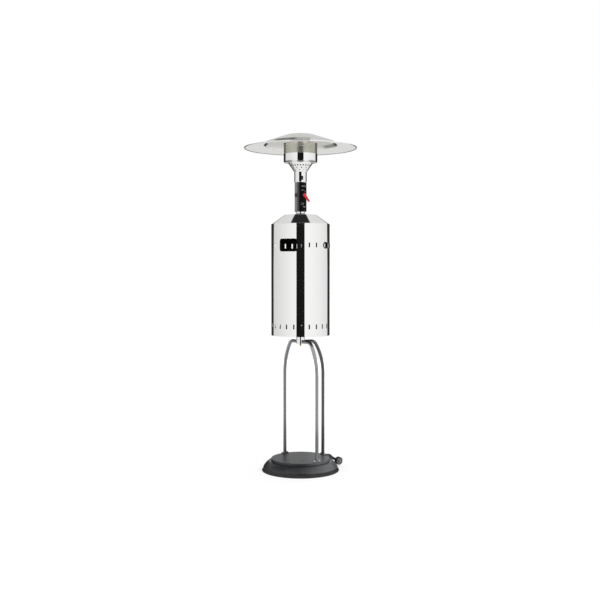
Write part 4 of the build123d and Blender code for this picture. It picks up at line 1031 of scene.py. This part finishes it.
flare = arc(*near(ring_radius, 0, (0, 4), (-6.8, 13)), (skirt_radius + 1.4 * MM, ring_high), 10)
spun_piece("rubber_edge", "base_edge_ring", near(RUBBER_BORE, 0, (0, 2), (0, 0))
           + near(ring_radius, 0, (-0.8, 0), (0, 0.8)) + flare + near(skirt_radius, ring_high, (0.2, 0))
           + near(skirt_radius, 0, (0.2, 2)))

crown = arc((skirt_radius, SKIRT_TOP), CROWN_THROUGH, LAND, 16)
spun_piece("base_hood", "base_shell", [(skirt_radius, SKIRT_FOOT)] + crown + near(*LAND, (-1.2, 0))
           + near(SEAT_RADIUS, LAND[1], (1.5, 0), (0, 1.5))
           + near(SEAT_RADIUS, hood_high, (0, -1.5), (-1.5, 0)) + [(HOOD_BORE, hood_high)],
           wall=BASE_SHEET, smooth=45)

spun_piece("platform_pan", "cylinder_platform", [(plate_radius, plate_low)]
           + near(plate_radius, plate_high, (0, -2.2), (-0.3, -1.1), (-1.1, -0.3), (-2.2, 0))
           + [(0, plate_high)], wall=BASE_SHEET, smooth=45)

# %% [markdown]
# ## The legs
#
# Each leg is one bent tube: straight up past the cylinder, then a long curve inwards and a tight
# shoulder into the side of the pole. A tube bender turns the pipe about a centre, and spin does
# the same to a ring of edges, so the leg is a ring that is extruded up, spun twice and extruded in.

# %% Legs
LEG_BEARINGS = {"leg_front": 36.5, "leg_rear": 122.0, "leg_left": 216.5}
LEG_RADIUS = 10.5 * MM
LEG_REACH = housing_radius - 14 * MM
LEG_LEAN = radians(32)
LONG_CURVE = 368 * MM
SHOULDER = 45 * MM
BEND_STEPS = 14
POLE_DIP = 1.4 * MM
WELD_BEAD = 1.8 * MM
WELD_RISE = 0.7

leg_high = sizes_of("leg_front")[2] - LEG_RADIUS
straight_high = leg_high - LONG_CURVE * sin(LEG_LEAN) - SHOULDER * (1 - sin(LEG_LEAN))
foot_high = sizes_of("leg_feet")[2]


def run_on(bm, edges, path):
    """Extrudes a ring of edges along a straight path and gives the new ring."""
    made = bmesh.ops.extrude_edge_only(bm, edges=edges)["geom"]
    bmesh.ops.translate(bm, verts=only(bmesh.types.BMVert, made), vec=path)
    return [edge for edge in only(bmesh.types.BMEdge, made) if len(edge.link_faces) == 1]


def bend_on(bm, edges, reach, height, angle):
    """Bends a ring of edges inwards about a centre and gives the new ring."""
    made = bmesh.ops.spin(bm, geom=edges, cent=(reach, 0, height), axis=(0, -1, 0), dvec=CENTRE, angle=angle,
                          steps=BEND_STEPS)
    return only(bmesh.types.BMEdge, made["geom_last"])


weld_bead = [(LEG_RADIUS + WELD_BEAD * cos(angle), WELD_BEAD * WELD_RISE * sin(angle))
             for angle in (pi / 3 * number for number in range(6))]
for name, bearing in LEG_BEARINGS.items():
    leg = bmesh.new()
    foot_ring = bmesh.ops.create_circle(leg, segments=36, radius=LEG_RADIUS,
                                        matrix=Matrix.Translation((LEG_REACH, 0, foot_high)))["verts"]
    ring = list({edge for vert in foot_ring for edge in vert.link_edges})
    ring = run_on(leg, ring, (0, 0, straight_high - foot_high))
    ring = bend_on(leg, ring, LEG_REACH - LONG_CURVE, straight_high, LEG_LEAN)
    shoulder_reach = LEG_REACH - LONG_CURVE + (LONG_CURVE - SHOULDER) * cos(LEG_LEAN)
    shoulder_high = straight_high + (LONG_CURVE - SHOULDER) * sin(LEG_LEAN)
    ring = bend_on(leg, ring, shoulder_reach, shoulder_high, pi / 2 - LEG_LEAN)
    run_on(leg, ring, (pole_radius - POLE_DIP - shoulder_reach, 0, 0))
    bmesh.ops.holes_fill(leg, edges=leg.edges[:], sides=0)
    for place, direction in (((LEG_REACH, 0, foot_high + 0.3 * MM), UP),
                             ((pole_radius - 0.9 * MM, 0, leg_high), (1, 0, 0))):
        spin_part(leg, weld_bead, place, direction, steps=40, closed=True)
    leg.transform(turned(bearing))
    make_piece(leg, f"{name}_tube", name)

# %% [markdown]
# A leg stands on a pressed foot plate with round ends, held by two bolts. The bolt heads are
# bright zinc and stand on washers, which is what glints at the foot of the front leg.

# %% Foot plates and bolts
FOOT_SIZE = (58 * MM, 22 * MM)
FOOT_BOLT_SPREAD = 19 * MM
BOLT_FLATS = 13 * MM
WASHER_RADIUS = 7.5 * MM
WASHER = 1.6 * MM
BOLT_HEAD = 5.3 * MM
FOOT_EASE = 0.7 * MM

feet = bmesh.new()
bolts = bmesh.new()
lay_flat = Matrix.Rotation(pi / 2, 4, "Z") @ Matrix.Rotation(pi / 2, 4, "X")
for bearing in LEG_BEARINGS.values():
    foot = bmesh.new()
    round_opening(foot, (0, 0), *FOOT_SIZE, FOOT_SIZE[1] / 2 - HOLE_EASE, 48)
    bmesh.ops.contextual_create(foot, geom=foot.edges[:])
    thicken(foot, (0, foot_high - plate_high, 0))
    soften(foot, FOOT_EASE)
    foot.transform(turned(bearing) @ Matrix.Translation((LEG_REACH, 0, plate_high)) @ lay_flat)
    add_mesh(feet, foot)
    for side in (-1, 1):
        seat = turned(bearing) @ Vector((LEG_REACH, side * FOOT_BOLT_SPREAD, foot_high))
        spin_part(bolts, disc(WASHER_RADIUS, 0, WASHER, 0.3 * MM), seat)
        hex_solid(bolts, BOLT_FLATS, WASHER, WASHER + BOLT_HEAD, seat, bevel=FOOT_EASE)
make_piece(feet, "foot_plates", "leg_feet")
make_piece(bolts, "foot_bolts", "leg_bolts")

# %% [markdown]
# ## Pole
#
# The pole is a plain polished tube. What shows that it is a made thing is the broken edge at its
# foot and the gas nipple under it.

# %% Pole
spun_piece("pole_tube", "pole", near(pole_radius, pole_high, (0, 0), (-1.5, 0))
           + near(pole_radius, pole_low, (-1.5, 0), (-0.5, 0), (0, 0.5)), steps=96)

# %% [markdown]
# ## Wheels
#
# Two small wheels hang behind the base and touch the floor only when the heater is tipped back.
# They are spun about their axle, so an outline here is measured out from the axle and along it.
# The tyre has three shallow grooves, and the hub has a recess with six ribs on each side, between
# its rim and its boss.

# %% Tyres and hubs
WHEEL_BEARING = 125.0
WHEEL_RADIUS = 26 * MM
WHEEL_SPREAD = 112 * MM
HALF_WIDTH = 11.5 * MM
HUB_RADIUS = 20.5 * MM
HUB_FACE = HALF_WIDTH - 2 * MM
HUB_FLOOR = HUB_FACE - 4 * MM
BOSS_RADIUS = 8.5 * MM
AXLE_RADIUS = 5 * MM
AXLE_HEIGHT = 36 * MM
AXLE_REACH = 269 * MM
GROOVES = (-5 * MM, 0, 5 * MM)
GROOVE = ((0, -0.7), (-1, -1.4 / 3), (-1, 1.4 / 3), (0, 0.7))
RIB_COUNT = 6
RIB_SIZE = (HUB_RADIUS - BOSS_RADIUS - 1.5 * MM, 2 * MM, 3.6 * MM)
RIB_REACH = (HUB_RADIUS + BOSS_RADIUS - 2 * MM) / 2

axle_middle = outward(WHEEL_BEARING, AXLE_REACH, AXLE_HEIGHT)
axle_way = outward(WHEEL_BEARING - 90, 1)


def axle_spin(bm, outline, offset=0.0, closed=True, steps=64):
    """Spins a (reach, distance along the axle) outline about the axle."""
    spin_part(bm, outline, axle_middle + axle_way * offset, axle_way, steps=steps, closed=closed)


edge = arc(*near(WHEEL_RADIUS, -HALF_WIDTH, (0, 3), (-0.88, 0.88), (-3, 0)), 6)
tread = [point for middle in GROOVES for point in near(WHEEL_RADIUS, middle, *GROOVE)]
bead = near(HUB_RADIUS, -HALF_WIDTH, (0.2, 0))
tyre_outline = bead + edge[::-1] + tread + [(reach, -place) for reach, place in edge + bead]
half_hub = (near(AXLE_RADIUS, HALF_WIDTH, (0.3, 0)) + near(BOSS_RADIUS, HALF_WIDTH, (-0.6, 0), (0, -0.6))
            + near(BOSS_RADIUS, HUB_FLOOR, (0, 0.8), (0.8, 0))
            + near(HUB_RADIUS, HUB_FLOOR, (-3.3, 0), (-2.5, 0.8))
            + near(HUB_RADIUS, HUB_FACE, (-2.5, -0.4), (-2.1, 0), (-0.4, 0), (0, -0.4)))
hub_outline = half_hub + [(reach, -place) for reach, place in half_hub[::-1]]

for side, name in ((1, "wheel_left"), (-1, "wheel_right")):
    offset = side * WHEEL_SPREAD / 2
    tyre = bmesh.new()
    axle_spin(tyre, tyre_outline, offset, steps=96)
    make_piece(tyre, f"{name}_rubber", f"{name}_tyre", smooth=50)
    hub = bmesh.new()
    axle_spin(hub, hub_outline, offset, steps=72)
    for number in range(2 * RIB_COUNT):
        rib = bmesh.new()
        bmesh.ops.create_cube(rib, size=1.0)
        bmesh.ops.scale(rib, verts=rib.verts, vec=RIB_SIZE)
        soften(rib, 0.4 * MM)
        outer = number % 2
        place = (RIB_REACH, 0, (2 * outer - 1) * (HUB_FLOOR + 1.6 * MM))
        rib.transform(Matrix.Rotation((number + outer) * pi / RIB_COUNT, 4, "Z") @ Matrix.Translation(place))
        set_down(hub, rib, axle_middle + axle_way * offset, axle_way)
    make_piece(hub, f"{name}_ribbed_hub", f"{name}_hub", smooth=40)

# %% [markdown]
# The axle is a plain zinc-plated rod. A push-on cap at each end keeps the wheel on.

# %% Axle and caps
AXLE_HALF = 73.5 * MM
CAP_RADIUS = 8 * MM
CAP_START = WHEEL_SPREAD / 2 + HALF_WIDTH + 0.3 * MM
CAP_END = CAP_START + 3.5 * MM

axle = bmesh.new()
axle_spin(axle, disc(AXLE_RADIUS, -AXLE_HALF, AXLE_HALF, 1 * MM), closed=False, steps=32)
make_piece(axle, "axle_rod", "wheel_axle", smooth=40)

caps = bmesh.new()
cap_outline = (near(AXLE_RADIUS, CAP_START, (0.1, 0)) + near(CAP_RADIUS, CAP_START, (-0.3, 0), (0, 0.3))
               + near(CAP_RADIUS, CAP_END, (0, -1), (-1, 0)) + near(AXLE_RADIUS, CAP_END, (0.1, 0)))
for side in (-1, 1):
    axle_spin(caps, [(reach, side * place) for reach, place in cap_outline], steps=40)
make_piece(caps, "push_on_caps", "axle_caps")

# %% [markdown]
# A few solids are flat-sided and already right in the CAD model, apart from their knife edges. For
# these the CAD mesh itself is copied, its corners are merged and its edges are bevelled.

# %% Softened copies
for node, name, width in (("wheel_bracket", "bracket_plate", 0.5 * MM),
                          ("bracket_bolts", "bracket_bolt_heads", 0.4 * MM)):
    copy = bmesh.new()
    copy.from_mesh(frame["nodes"][node].data)
    bmesh.ops.remove_doubles(copy, verts=copy.verts, dist=1e-5)
    bmesh.ops.dissolve_limit(copy, angle_limit=radians(1), verts=copy.verts, edges=copy.edges)
    soften(copy, width, corner=50)
    make_piece(copy, name, node, smooth=40)

# %% [markdown]
# ## Control head
#
# The control housing is a short tube in satin metal, closed by a flange with a low rim that the
# burner's neck stands round. A curved panel in gloss black wraps its front right, with the red gas
# lever on it, and the round igniter button sits at the left. The panel is rolled like the
# housing: a flat blank with round corners and a hole for the spindle.

# %% Control housing, its upper cap and the panel
control_radius, control_low, control_high = sizes_of("control_housing")
neck_radius = sizes_of("control_top_cap")[0]
_, panel_low, panel_high = sizes_of("control_panel")
NECK_LOW = control_high + 2.5 * MM
PANEL_BEARING = 42.0
PANEL_ANGLE = 88.0
PANEL_CORNER = 5 * MM
PANEL_WALL = 1.05 * MM
LEVER_BEARING = 40.0
lever_height = middle_height("igniter_barrel")
lever_seat = Vector((0, 0, lever_height))
panel_radius = control_radius + 1.2 * MM

spun_piece("control_tube", "control_housing", near(control_radius, control_low, (-0.5, 0), (0, 0.5))
           + near(control_radius, control_high, (0, -0.5), (-0.5, 0), (-1.6, 0))
           + near(control_radius, control_low, (-1.6, 0)), smooth=50)
spun_piece("head_flange", "control_top_cap", near(0, control_high, (16.1, -4), (35.9, -4), (35.9, 0))
           + near(neck_radius, control_high, (-0.5, 0), (0, 0.5))
           + near(neck_radius, NECK_LOW, (0, -0.5), (-0.5, 0), (-1.3, 0), (-1.3, 9), (-3.3, 9), (-3.3, 0))
           + near(0, NECK_LOW, (16.1, 0)), smooth=50)

panel = bmesh.new()
outlines = round_opening(panel, (0, (panel_low + panel_high) / 2), panel_radius * radians(PANEL_ANGLE),
                         panel_high - panel_low, PANEL_CORNER, 32)
spindle_place = panel_radius * radians(LEVER_BEARING - PANEL_BEARING)
outlines += round_hole(panel, (spindle_place, lever_height), 6 * MM, 32)
cut_blank(panel, outlines, PANEL_WALL, panel_radius * STRIP)
roll(panel, panel_radius, PANEL_BEARING)
make_piece(panel, "gloss_panel", "control_panel", wall_normal=upright_wall)

# %% [markdown]
# The marks on the panel are plain ones: a scale of ticks round the lever, three bars that grow
# with the flame, and short rules. They are thin printed patches laid on the panel, each cut into
# strips so that it bends with the panel. A bar or rule is written as its place across and up from
# the lever's axis, its width and its height, all in millimetres.

# %% Panel marks
INK = 0.08 * MM
MARK_STRIP = 1.2 * MM
TICK_TURNS = (150, 130, 110, 90, 70, 50, 30)
TICK_REACH = (21.6, 27)
BARS = tuple((-23 + 8 * number, -60 + 1.5 * number, 1.4, 4 + 3 * number) for number in range(3))
RULES = ((-1.5, 57, 38, 2.4), (-12, 29, 28, 0.5), (-15, 33, 16, 0.5), (-14, -50, 24, 0.5),
         (0, -73, 24, 1.2), (0, -79, 14, 1.2))


def print_mark(bm, across, up, width, height, tilt=0.0):
    """A printed bar on the panel."""
    across, up, width, height = (value * MM for value in (across, up, width, height))
    bar = bmesh.new()
    bmesh.ops.create_cube(bar, size=1.0)
    bmesh.ops.scale(bar, verts=bar.verts, vec=(width, 2 * INK, height))
    bar.transform(Matrix.Translation((across, 0, up + lever_height)) @ Matrix.Rotation(tilt, 4, "Y"))
    for number in range(1, int(width / MARK_STRIP) + 1):
        slice_blank(bar, (across - width / 2 + number * MARK_STRIP, 0, 0), (1, 0, 0))
    roll(bar, panel_radius, LEVER_BEARING)
    add_mesh(bm, bar)


marks = bmesh.new()
for number, turn in enumerate(TICK_TURNS):
    tilt = radians(turn)
    across, up = TICK_REACH[0] * sin(tilt), TICK_REACH[1] * cos(tilt)
    print_mark(marks, across, up, 1.2, 3 if number % 3 else 5, tilt)
for mark in BARS + RULES:
    print_mark(marks, *mark)
make_piece(marks, "panel_marks", "control_panel", look="panel_ink")

# %% [markdown]
# The lever is moulded: a flat web with a round boss, and a ridge for the finger. Each of its two
# layers is the hull of two discs, a wide one at the pivot and a narrow one at the tip. A red cap
# closes the spindle.

# %% Lever and its spindle
LEVER_REACH = 50.5 * MM
LEVER_ROOT = 10 * MM
LEVER_TIP = 6.5 * MM
RIDGE_IN = 3 * MM
BOSS_OUT = 2 * MM
LEVER_TURN = radians(44)
lever_low = panel_radius + 0.3 * MM
lever_web = lever_low + 4.95 * MM
lever_high = lever_low + 9 * MM
lever_frame = (Matrix.Translation(lever_seat) @ turned(LEVER_BEARING)
               @ Matrix(((0, 0, 1, 0), (1, 0, 0, 0), (0, 1, 0, 0), (0, 0, 0, 1))))


def hull_of_discs(bm, radii, low, high, bevel):
    """Layer of the lever between two heights, round a disc at its pivot and one at its tip."""
    layer = bmesh.new()
    for reach, radius in zip((0, LEVER_REACH), radii):
        for height in (low, high):
            middle = (reach * sin(LEVER_TURN), -reach * cos(LEVER_TURN), height)
            bmesh.ops.create_circle(layer, segments=32, radius=radius, matrix=Matrix.Translation(middle))
    made = bmesh.ops.convex_hull(layer, input=layer.verts)
    bmesh.ops.delete(layer, geom=[item for item in made["geom_interior"] if item.is_valid], context="VERTS")
    bmesh.ops.dissolve_limit(layer, angle_limit=radians(1), verts=layer.verts, edges=layer.edges)
    soften(layer, bevel, segments=3, corner=50)
    layer.transform(lever_frame)
    add_mesh(bm, layer)


lever = bmesh.new()
hull_of_discs(lever, (LEVER_ROOT, LEVER_TIP), lever_low, lever_web, 1.2 * MM)
hull_of_discs(lever, (LEVER_ROOT - RIDGE_IN, LEVER_TIP - RIDGE_IN), lever_web - 0.5 * MM, lever_high,
              1.4 * MM)
hull_of_discs(lever, (LEVER_ROOT + BOSS_OUT,), lever_low, lever_web, 1.0 * MM)
make_piece(lever, "gas_lever_moulding", "gas_lever", smooth=50)

spindle = bmesh.new()
spin_part(spindle, near(0, 0, (0, 12), (4, 12))
          + near(0, lever_high, (4, 0), (5.5, 0), (5.5, 0.8), (4.6, 1.5), (0, 1.5)),
          lever_seat, outward(LEVER_BEARING, 1))
make_piece(spindle, "spindle_cap", "lever_spindle", smooth=40, look="lever_red")

# %% [markdown]
# The igniter is a push button in a short barrel. Its flange follows the curve of the housing, so
# it is a rolled ring, and the button's face is slightly domed.

# %% Igniter and panel screws
BUTTON_BEARING = -49.0
BUTTON_RADIUS = 11 * MM
BUTTON_FACE = control_radius + 5 * MM
BARREL_BORE = 11.3 * MM
BARREL_SECTION = ((0, -1.5), (0, 1.4), (0.6, 2), (2.5, 2), (3.4, 1.1), (3.4, 0.1), (1.2, 0.1), (1.2, -1.5))
SCREW_DROP = 9 * MM
button_way = outward(BUTTON_BEARING, 1)

barrel = bmesh.new()
rolled_ring(barrel, (2 * BARREL_BORE, 2 * BARREL_BORE), BARREL_SECTION, lever_height, control_radius,
            BUTTON_BEARING, 48, HOLE_EASE)
spin_part(barrel, near(BARREL_BORE, 0, (0, 22), (1.2, 22))
          + near(BARREL_BORE, control_radius, (1.2, -1.6), (0, -1.6)), lever_seat, button_way, 48, True)
make_piece(barrel, "igniter_ring", "igniter_barrel", smooth=50)

button = bmesh.new()
spin_part(button, near(0, 0, (0, 24), (4, 24), (4, 30)) + near(BUTTON_RADIUS, 0, (-0.8, 30), (0, 30.8))
          + near(BUTTON_RADIUS, BUTTON_FACE, (0, -1.6), (-0.4, -1), (-1.2, -0.6), (-4, -0.15))
          + [(0, BUTTON_FACE)], lever_seat, button_way, steps=48)
make_piece(button, "igniter_cap", "igniter_button", smooth=50)

screws = bmesh.new()
for height in (panel_low + SCREW_DROP, panel_high - SCREW_DROP):
    seat = outward(PANEL_BEARING, panel_radius - 0.2 * MM, height)
    spin_part(screws, domed(3.2 * MM, 1.5 * MM), seat, outward(PANEL_BEARING, 1), steps=24)
make_piece(screws, "panel_screw_heads", "panel_screws", look="black_zinc")

# %% [markdown]
# ## Burner
#
# The neck flares into a cone with three rows of air holes, and carries the bowl. Neck and cone
# are one sheet: the blank is folded where the cone starts, and each hole is drawn as the flat
# oval that turns round again when the cone is rolled. A row of CONE_ROWS says how far up the cone
# it is, how many holes it has, the bearing of the first and their radius.

# %% Neck and cone
CONE_HEIGHT = 57 * MM
CONE_RADIUS = 79 * MM
CONE_RIM = 3 * MM
NECK_WALL = 1.2 * MM
CONE_ROWS = ((0.71, 24, 0.0, 5.0 * MM), (0.455, 12, 7.5, 4.4 * MM), (0.225, 12, 22.5, 3.3 * MM))
SEAM_BEARING = 179
AIR_SLOT = (16 * MM, 26 * MM)
AIR_SLOT_CORNER = 3 * MM
AIR_SLOT_RISE = 23.5 * MM
AIR_SLOT_FIRST = 14.5

neck_high = NECK_LOW + 62.5 * MM
cone_high = neck_high + CONE_HEIGHT
rim_high = cone_high + CONE_RIM
cone_slope = Vector((CONE_HEIGHT, CONE_RADIUS - neck_radius)).normalized()


def cone_reach(height):
    """Outer radius of the neck and cone at a height."""
    share = min(max((height - neck_high) / CONE_HEIGHT, 0), 1)
    return neck_radius + share * (CONE_RADIUS - neck_radius)


def cone_normal(place):
    """Normal of the neck's or the cone's wall at a place."""
    wall = upright_wall(place)
    on_cone = neck_high < place.z < cone_high
    return Vector((wall.x * cone_slope.x, wall.y * cone_slope.x, -cone_slope.y)) if on_cone else wall


neck = bmesh.new()
outlines = border(neck, pi * neck_radius, NECK_LOW, rim_high)
for number in range(3):
    middle = (round_wall(neck_radius, AIR_SLOT_FIRST + number * 120), NECK_LOW + AIR_SLOT_RISE)
    outlines += round_opening(neck, middle, *AIR_SLOT, AIR_SLOT_CORNER, 16)
for share, count, first, radius in CONE_ROWS:
    height = neck_high + share * CONE_HEIGHT
    for number in range(count):
        bearing = first + number * 360 / count
        if abs(wrapped(bearing)) > SEAM_BEARING:
            continue
        hole = round_hole(neck, (0, 0), radius, 16)
        flat = (neck_radius / cone_reach(height), 1, cone_slope.x)
        bmesh.ops.scale(neck, verts=verts_of(hole), vec=flat)
        bmesh.ops.translate(neck, verts=verts_of(hole), vec=(round_wall(neck_radius, bearing), 0, height))
        outlines += hole
cut_blank(neck, outlines, NECK_WALL, neck_radius * STRIP, folds=(neck_high, cone_high))
roll(neck, neck_radius, reach_at=cone_reach)
spin_outline(neck, near(CONE_RADIUS, rim_high, (0, 0), (-9, 0), (-9, -1.2), (-0.5, -1.2)))
make_piece(neck, "burner_cone", "burner_neck", wall_normal=cone_normal, shade_inside=True)

# %% [markdown]
# The bowl is a spun cup of polished sheet with a round corner at its foot. A cylinder with a
# bevelled edge would do from afar, but on a mirror the corner's true curve decides how the bands
# of light and dark bend there, so the corner is an arc in the outline.

# %% Bowl
BOWL_CORNER = 9 * MM
BOWL_BORE = 17 * MM
BOWL_WALL = 1.2 * MM

corner = BOWL_CORNER * (1 - sqrt(0.5))
bowl_corner = arc((bowl_radius - BOWL_CORNER, bowl_low), (bowl_radius - corner, bowl_low + corner),
                  (bowl_radius, bowl_low + BOWL_CORNER), 10)
spun_piece("burner_bowl_spinning", "burner_bowl", [(BOWL_BORE, bowl_low)] + bowl_corner
           + near(bowl_radius, bowl_high, (0, -0.4), (-0.4, 0)), wall=BOWL_WALL, smooth=45)

# %% [markdown]
# The emitter screen is perforated sheet with hundreds of holes. Only one narrow strip of it is
# cut, with two staggered columns of holes. Spin then repeats the strip all the way round.

# %% Emitter screen and top plate
screen_radius, screen_low, screen_high = sizes_of("emitter_screen")
lid_radius, lid_low, lid_high = sizes_of("emitter_top_plate")
SCREEN_STRIPS = 50
SCREEN_ROWS = 9
SCREEN_HOLE = 2.1 * MM
SCREEN_WALL = 1 * MM
SCREEN_EDGE = 4 * MM
strip_half = pi * screen_radius / SCREEN_STRIPS
row_pitch = (screen_high - bowl_high - SCREEN_EDGE) / SCREEN_ROWS

screen = bmesh.new()
outlines = border(screen, strip_half, screen_low, screen_high)
for row in range(SCREEN_ROWS):
    for side in (-1, 1):
        height = bowl_high + (row + 0.75 + side * 0.25) * row_pitch
        outlines += round_hole(screen, (side * strip_half / 2, height), SCREEN_HOLE, 12)
cut_blank(screen, outlines, SCREEN_WALL, strip_half / 2)
seam = [face for face in screen.faces if abs(abs(face.calc_center_median().x) - strip_half) < SAME_PLACE]
bmesh.ops.delete(screen, geom=seam, context="FACES")
roll(screen, screen_radius)
bmesh.ops.spin(screen, geom=screen.verts[:] + screen.edges[:] + screen.faces[:], cent=CENTRE, axis=UP,
               dvec=CENTRE, angle=2 * pi, steps=SCREEN_STRIPS, use_duplicate=True)
make_piece(screen, "perforated_screen", "emitter_screen", wall_normal=upright_wall)

spun_piece("emitter_lid", "emitter_top_plate", [(0, lid_high)]
           + near(lid_radius, lid_high, (-1.5, 0), (-0.4, -0.4), (0, -1.5)) + [(lid_radius, lid_low)]
           + near(screen_radius, lid_low, (0.2, 0)) + near(screen_radius, screen_high, (0.2, 0))
           + [(0, screen_high)], closed=False, smooth=50)

# %% [markdown]
# ## Reflector
#
# The reflector is a spun dome with a steep band above its foot, and a brim of four segments that
# overlap a little at their seams. The brim's edge is rolled into a bead, which draws the thin
# dark line along the rim.

# %% Dome
DOME_FOOT = (238 * MM, 2101 * MM)
DOME_STEP = (222 * MM, 2119.3 * MM)
DOME_THROUGH = (158 * MM, 2142.3 * MM)
DOME_FLAT = 88 * MM
DOME_WALL = 1.2 * MM
BRIM_SLOPE = 0.16
flange_edge, _, dome_high = sizes_of("reflector_dome")


def brim_height(reach):
    """Height of the brim's upper face."""
    return DOME_FOOT[1] - BRIM_SLOPE * (reach - DOME_FOOT[0])


dome_side = arc(DOME_STEP, DOME_THROUGH, (DOME_FLAT, dome_high), 24)
spun_piece("dome_spinning", "reflector_dome", [(flange_edge, brim_height(flange_edge) + DOME_WALL)]
           + near(*DOME_FOOT, (2, 0.9), (-1, 2)) + near(*DOME_STEP, (1.1, -1.8), (-0.8, 0.2))
           + dome_side[1:] + [(0, dome_high)], wall=DOME_WALL, smooth=45)

# %% [markdown]
# One full ring would be simpler than four segments, but the seams show from below and from
# behind. Each quarter is the same outline, spun by a quarter turn, with its bead drawn as a small
# circle. A narrow lap goes with each quarter and reaches under the next one.

# %% Brim segments
SEGMENT_COUNT = 4
SEGMENT_ANGLE = 89.96
SEAM_FIRST = 45
BEAD = 2.8 * MM
BEAD_POINTS = 14
BEAD_START = 0.5
LAP_ANGLE = 2.3
BEAD_MIDDLE = 362.9 * MM - BEAD
rim_height = sizes_of("reflector_segment_1")[1] + BEAD

bead_turns = [2 * pi * number / BEAD_POINTS + BEAD_START for number in range(BEAD_POINTS - 1)]
bead_line = [(BEAD_MIDDLE - BEAD * cos(turn), rim_height + BEAD * sin(turn)) for turn in bead_turns]
segment_start = DOME_FOOT[0] + 1 * MM
segment_outline = ([(segment_start, brim_height(segment_start))] + bead_line
                   + [(segment_start, brim_height(segment_start) - DOME_WALL)])
lap_ends = (flange_edge + 2 * MM, BEAD_MIDDLE - BEAD - 3 * MM)
lap_outline = ([(reach, brim_height(reach) - DOME_WALL) for reach in lap_ends]
               + [(reach, brim_height(reach) - 2 * DOME_WALL) for reach in lap_ends[::-1]])
for number in range(SEGMENT_COUNT):
    segment = bmesh.new()
    spin_outline(segment, segment_outline, angle=SEGMENT_ANGLE, steps=48)
    lap = bmesh.new()
    spin_outline(lap, lap_outline, angle=2 * LAP_ANGLE, steps=3)
    lap.transform(Matrix.Rotation(radians(SEGMENT_ANGLE - LAP_ANGLE), 4, "Z"))
    add_mesh(segment, lap)
    segment.transform(turned(SEAM_FIRST + number * 90))
    make_piece(segment, f"brim_quarter_{number + 1}", f"reflector_segment_{number + 1}", smooth=50)

# %% [markdown]
# Small domed screws hold the brim's seams, with nuts under them. Three studs carry the dome over
# the burner, through tube spacers, and end in nuts and washers on top.

# %% Reflector fixings
SCREW_RADIUS = 2 * MM
SCREW_PLACES = ((-3, 245 * MM, 1), (3, 245 * MM, 1), (LAP_ANGLE / 2, 350 * MM, 0))
STUD_CIRCLE = 63 * MM

fixings = bmesh.new()
for number in range(SEGMENT_COUNT):
    for turn, reach, above in SCREW_PLACES:
        top = brim_height(reach) + above * DOME_WALL + 0.7 * MM
        bottom = brim_height(reach) - (2 - above) * DOME_WALL - 0.7 * MM
        seat = outward(SEAM_FIRST + number * 90 + turn, reach)
        spin_part(fixings, domed(2 * SCREW_RADIUS, 1.8 * MM, top, 4), seat, steps=20)
        shank = near(0, bottom, (0, -4), (2, -4)) + near(0, top, (2, 0), (0, 0))
        spin_part(fixings, shank, seat, steps=16)
        hex_solid(fixings, 3.2 * SCREW_RADIUS, bottom - 3 * MM, bottom, seat, bevel=0.3 * MM)
make_piece(fixings, "brim_screws", "reflector_screws")

spacers = bmesh.new()
studs = bmesh.new()
nuts = bmesh.new()
for number in range(3):
    seat = outward(number * 120, STUD_CIRCLE)
    spin_part(spacers, near(0, lid_high, (3.2, 0), (5.6, 0), (6, 0.4))
              + near(0, dome_high, (6, -1.6), (5.6, -1.2), (3.2, -1.2)), seat, closed=True)
    spin_part(studs, near(0, screen_high, (0, 0), (3, 0)) + near(0, dome_high, (3, 1.4), (2.4, 2), (0, 2)),
              seat, steps=24)
    hex_solid(studs, 9.9 * MM, screen_high - 4 * MM, screen_high, seat)
    spin_part(nuts, near(0, dome_high, (3.1, 0), (6, 0), (6, 1), (3.1, 1)), seat, closed=True)
    hex_solid(nuts, 10 * MM, dome_high + 1 * MM, dome_high + 4 * MM, seat, bevel=0.6 * MM)
make_piece(spacers, "dome_spacers", "reflector_spacers")
make_piece(studs, "dome_studs", "reflector_studs")
make_piece(nuts, "dome_nuts", "reflector_nuts")

# %% [markdown]
# ## What the mirrors may see
#
# The roof of the housing would mirror the burner and the reflector over it, and turn into a
# puzzle of small dark shapes that hides the form of the cone. The head is therefore left out of
# reflections, so that the steel shows only the boards of the studio. It is still seen by the
# camera, and it still casts its shadow.

# %% Keep the head out of reflections
HEAD_LOW = control_low - 1 * MM

for piece in scene.objects:
    if piece.type == "MESH" and piece.data.vertices and piece is not floor:
        piece.visible_glossy = min(vert.co.z for vert in piece.data.vertices) <= HEAD_LOW
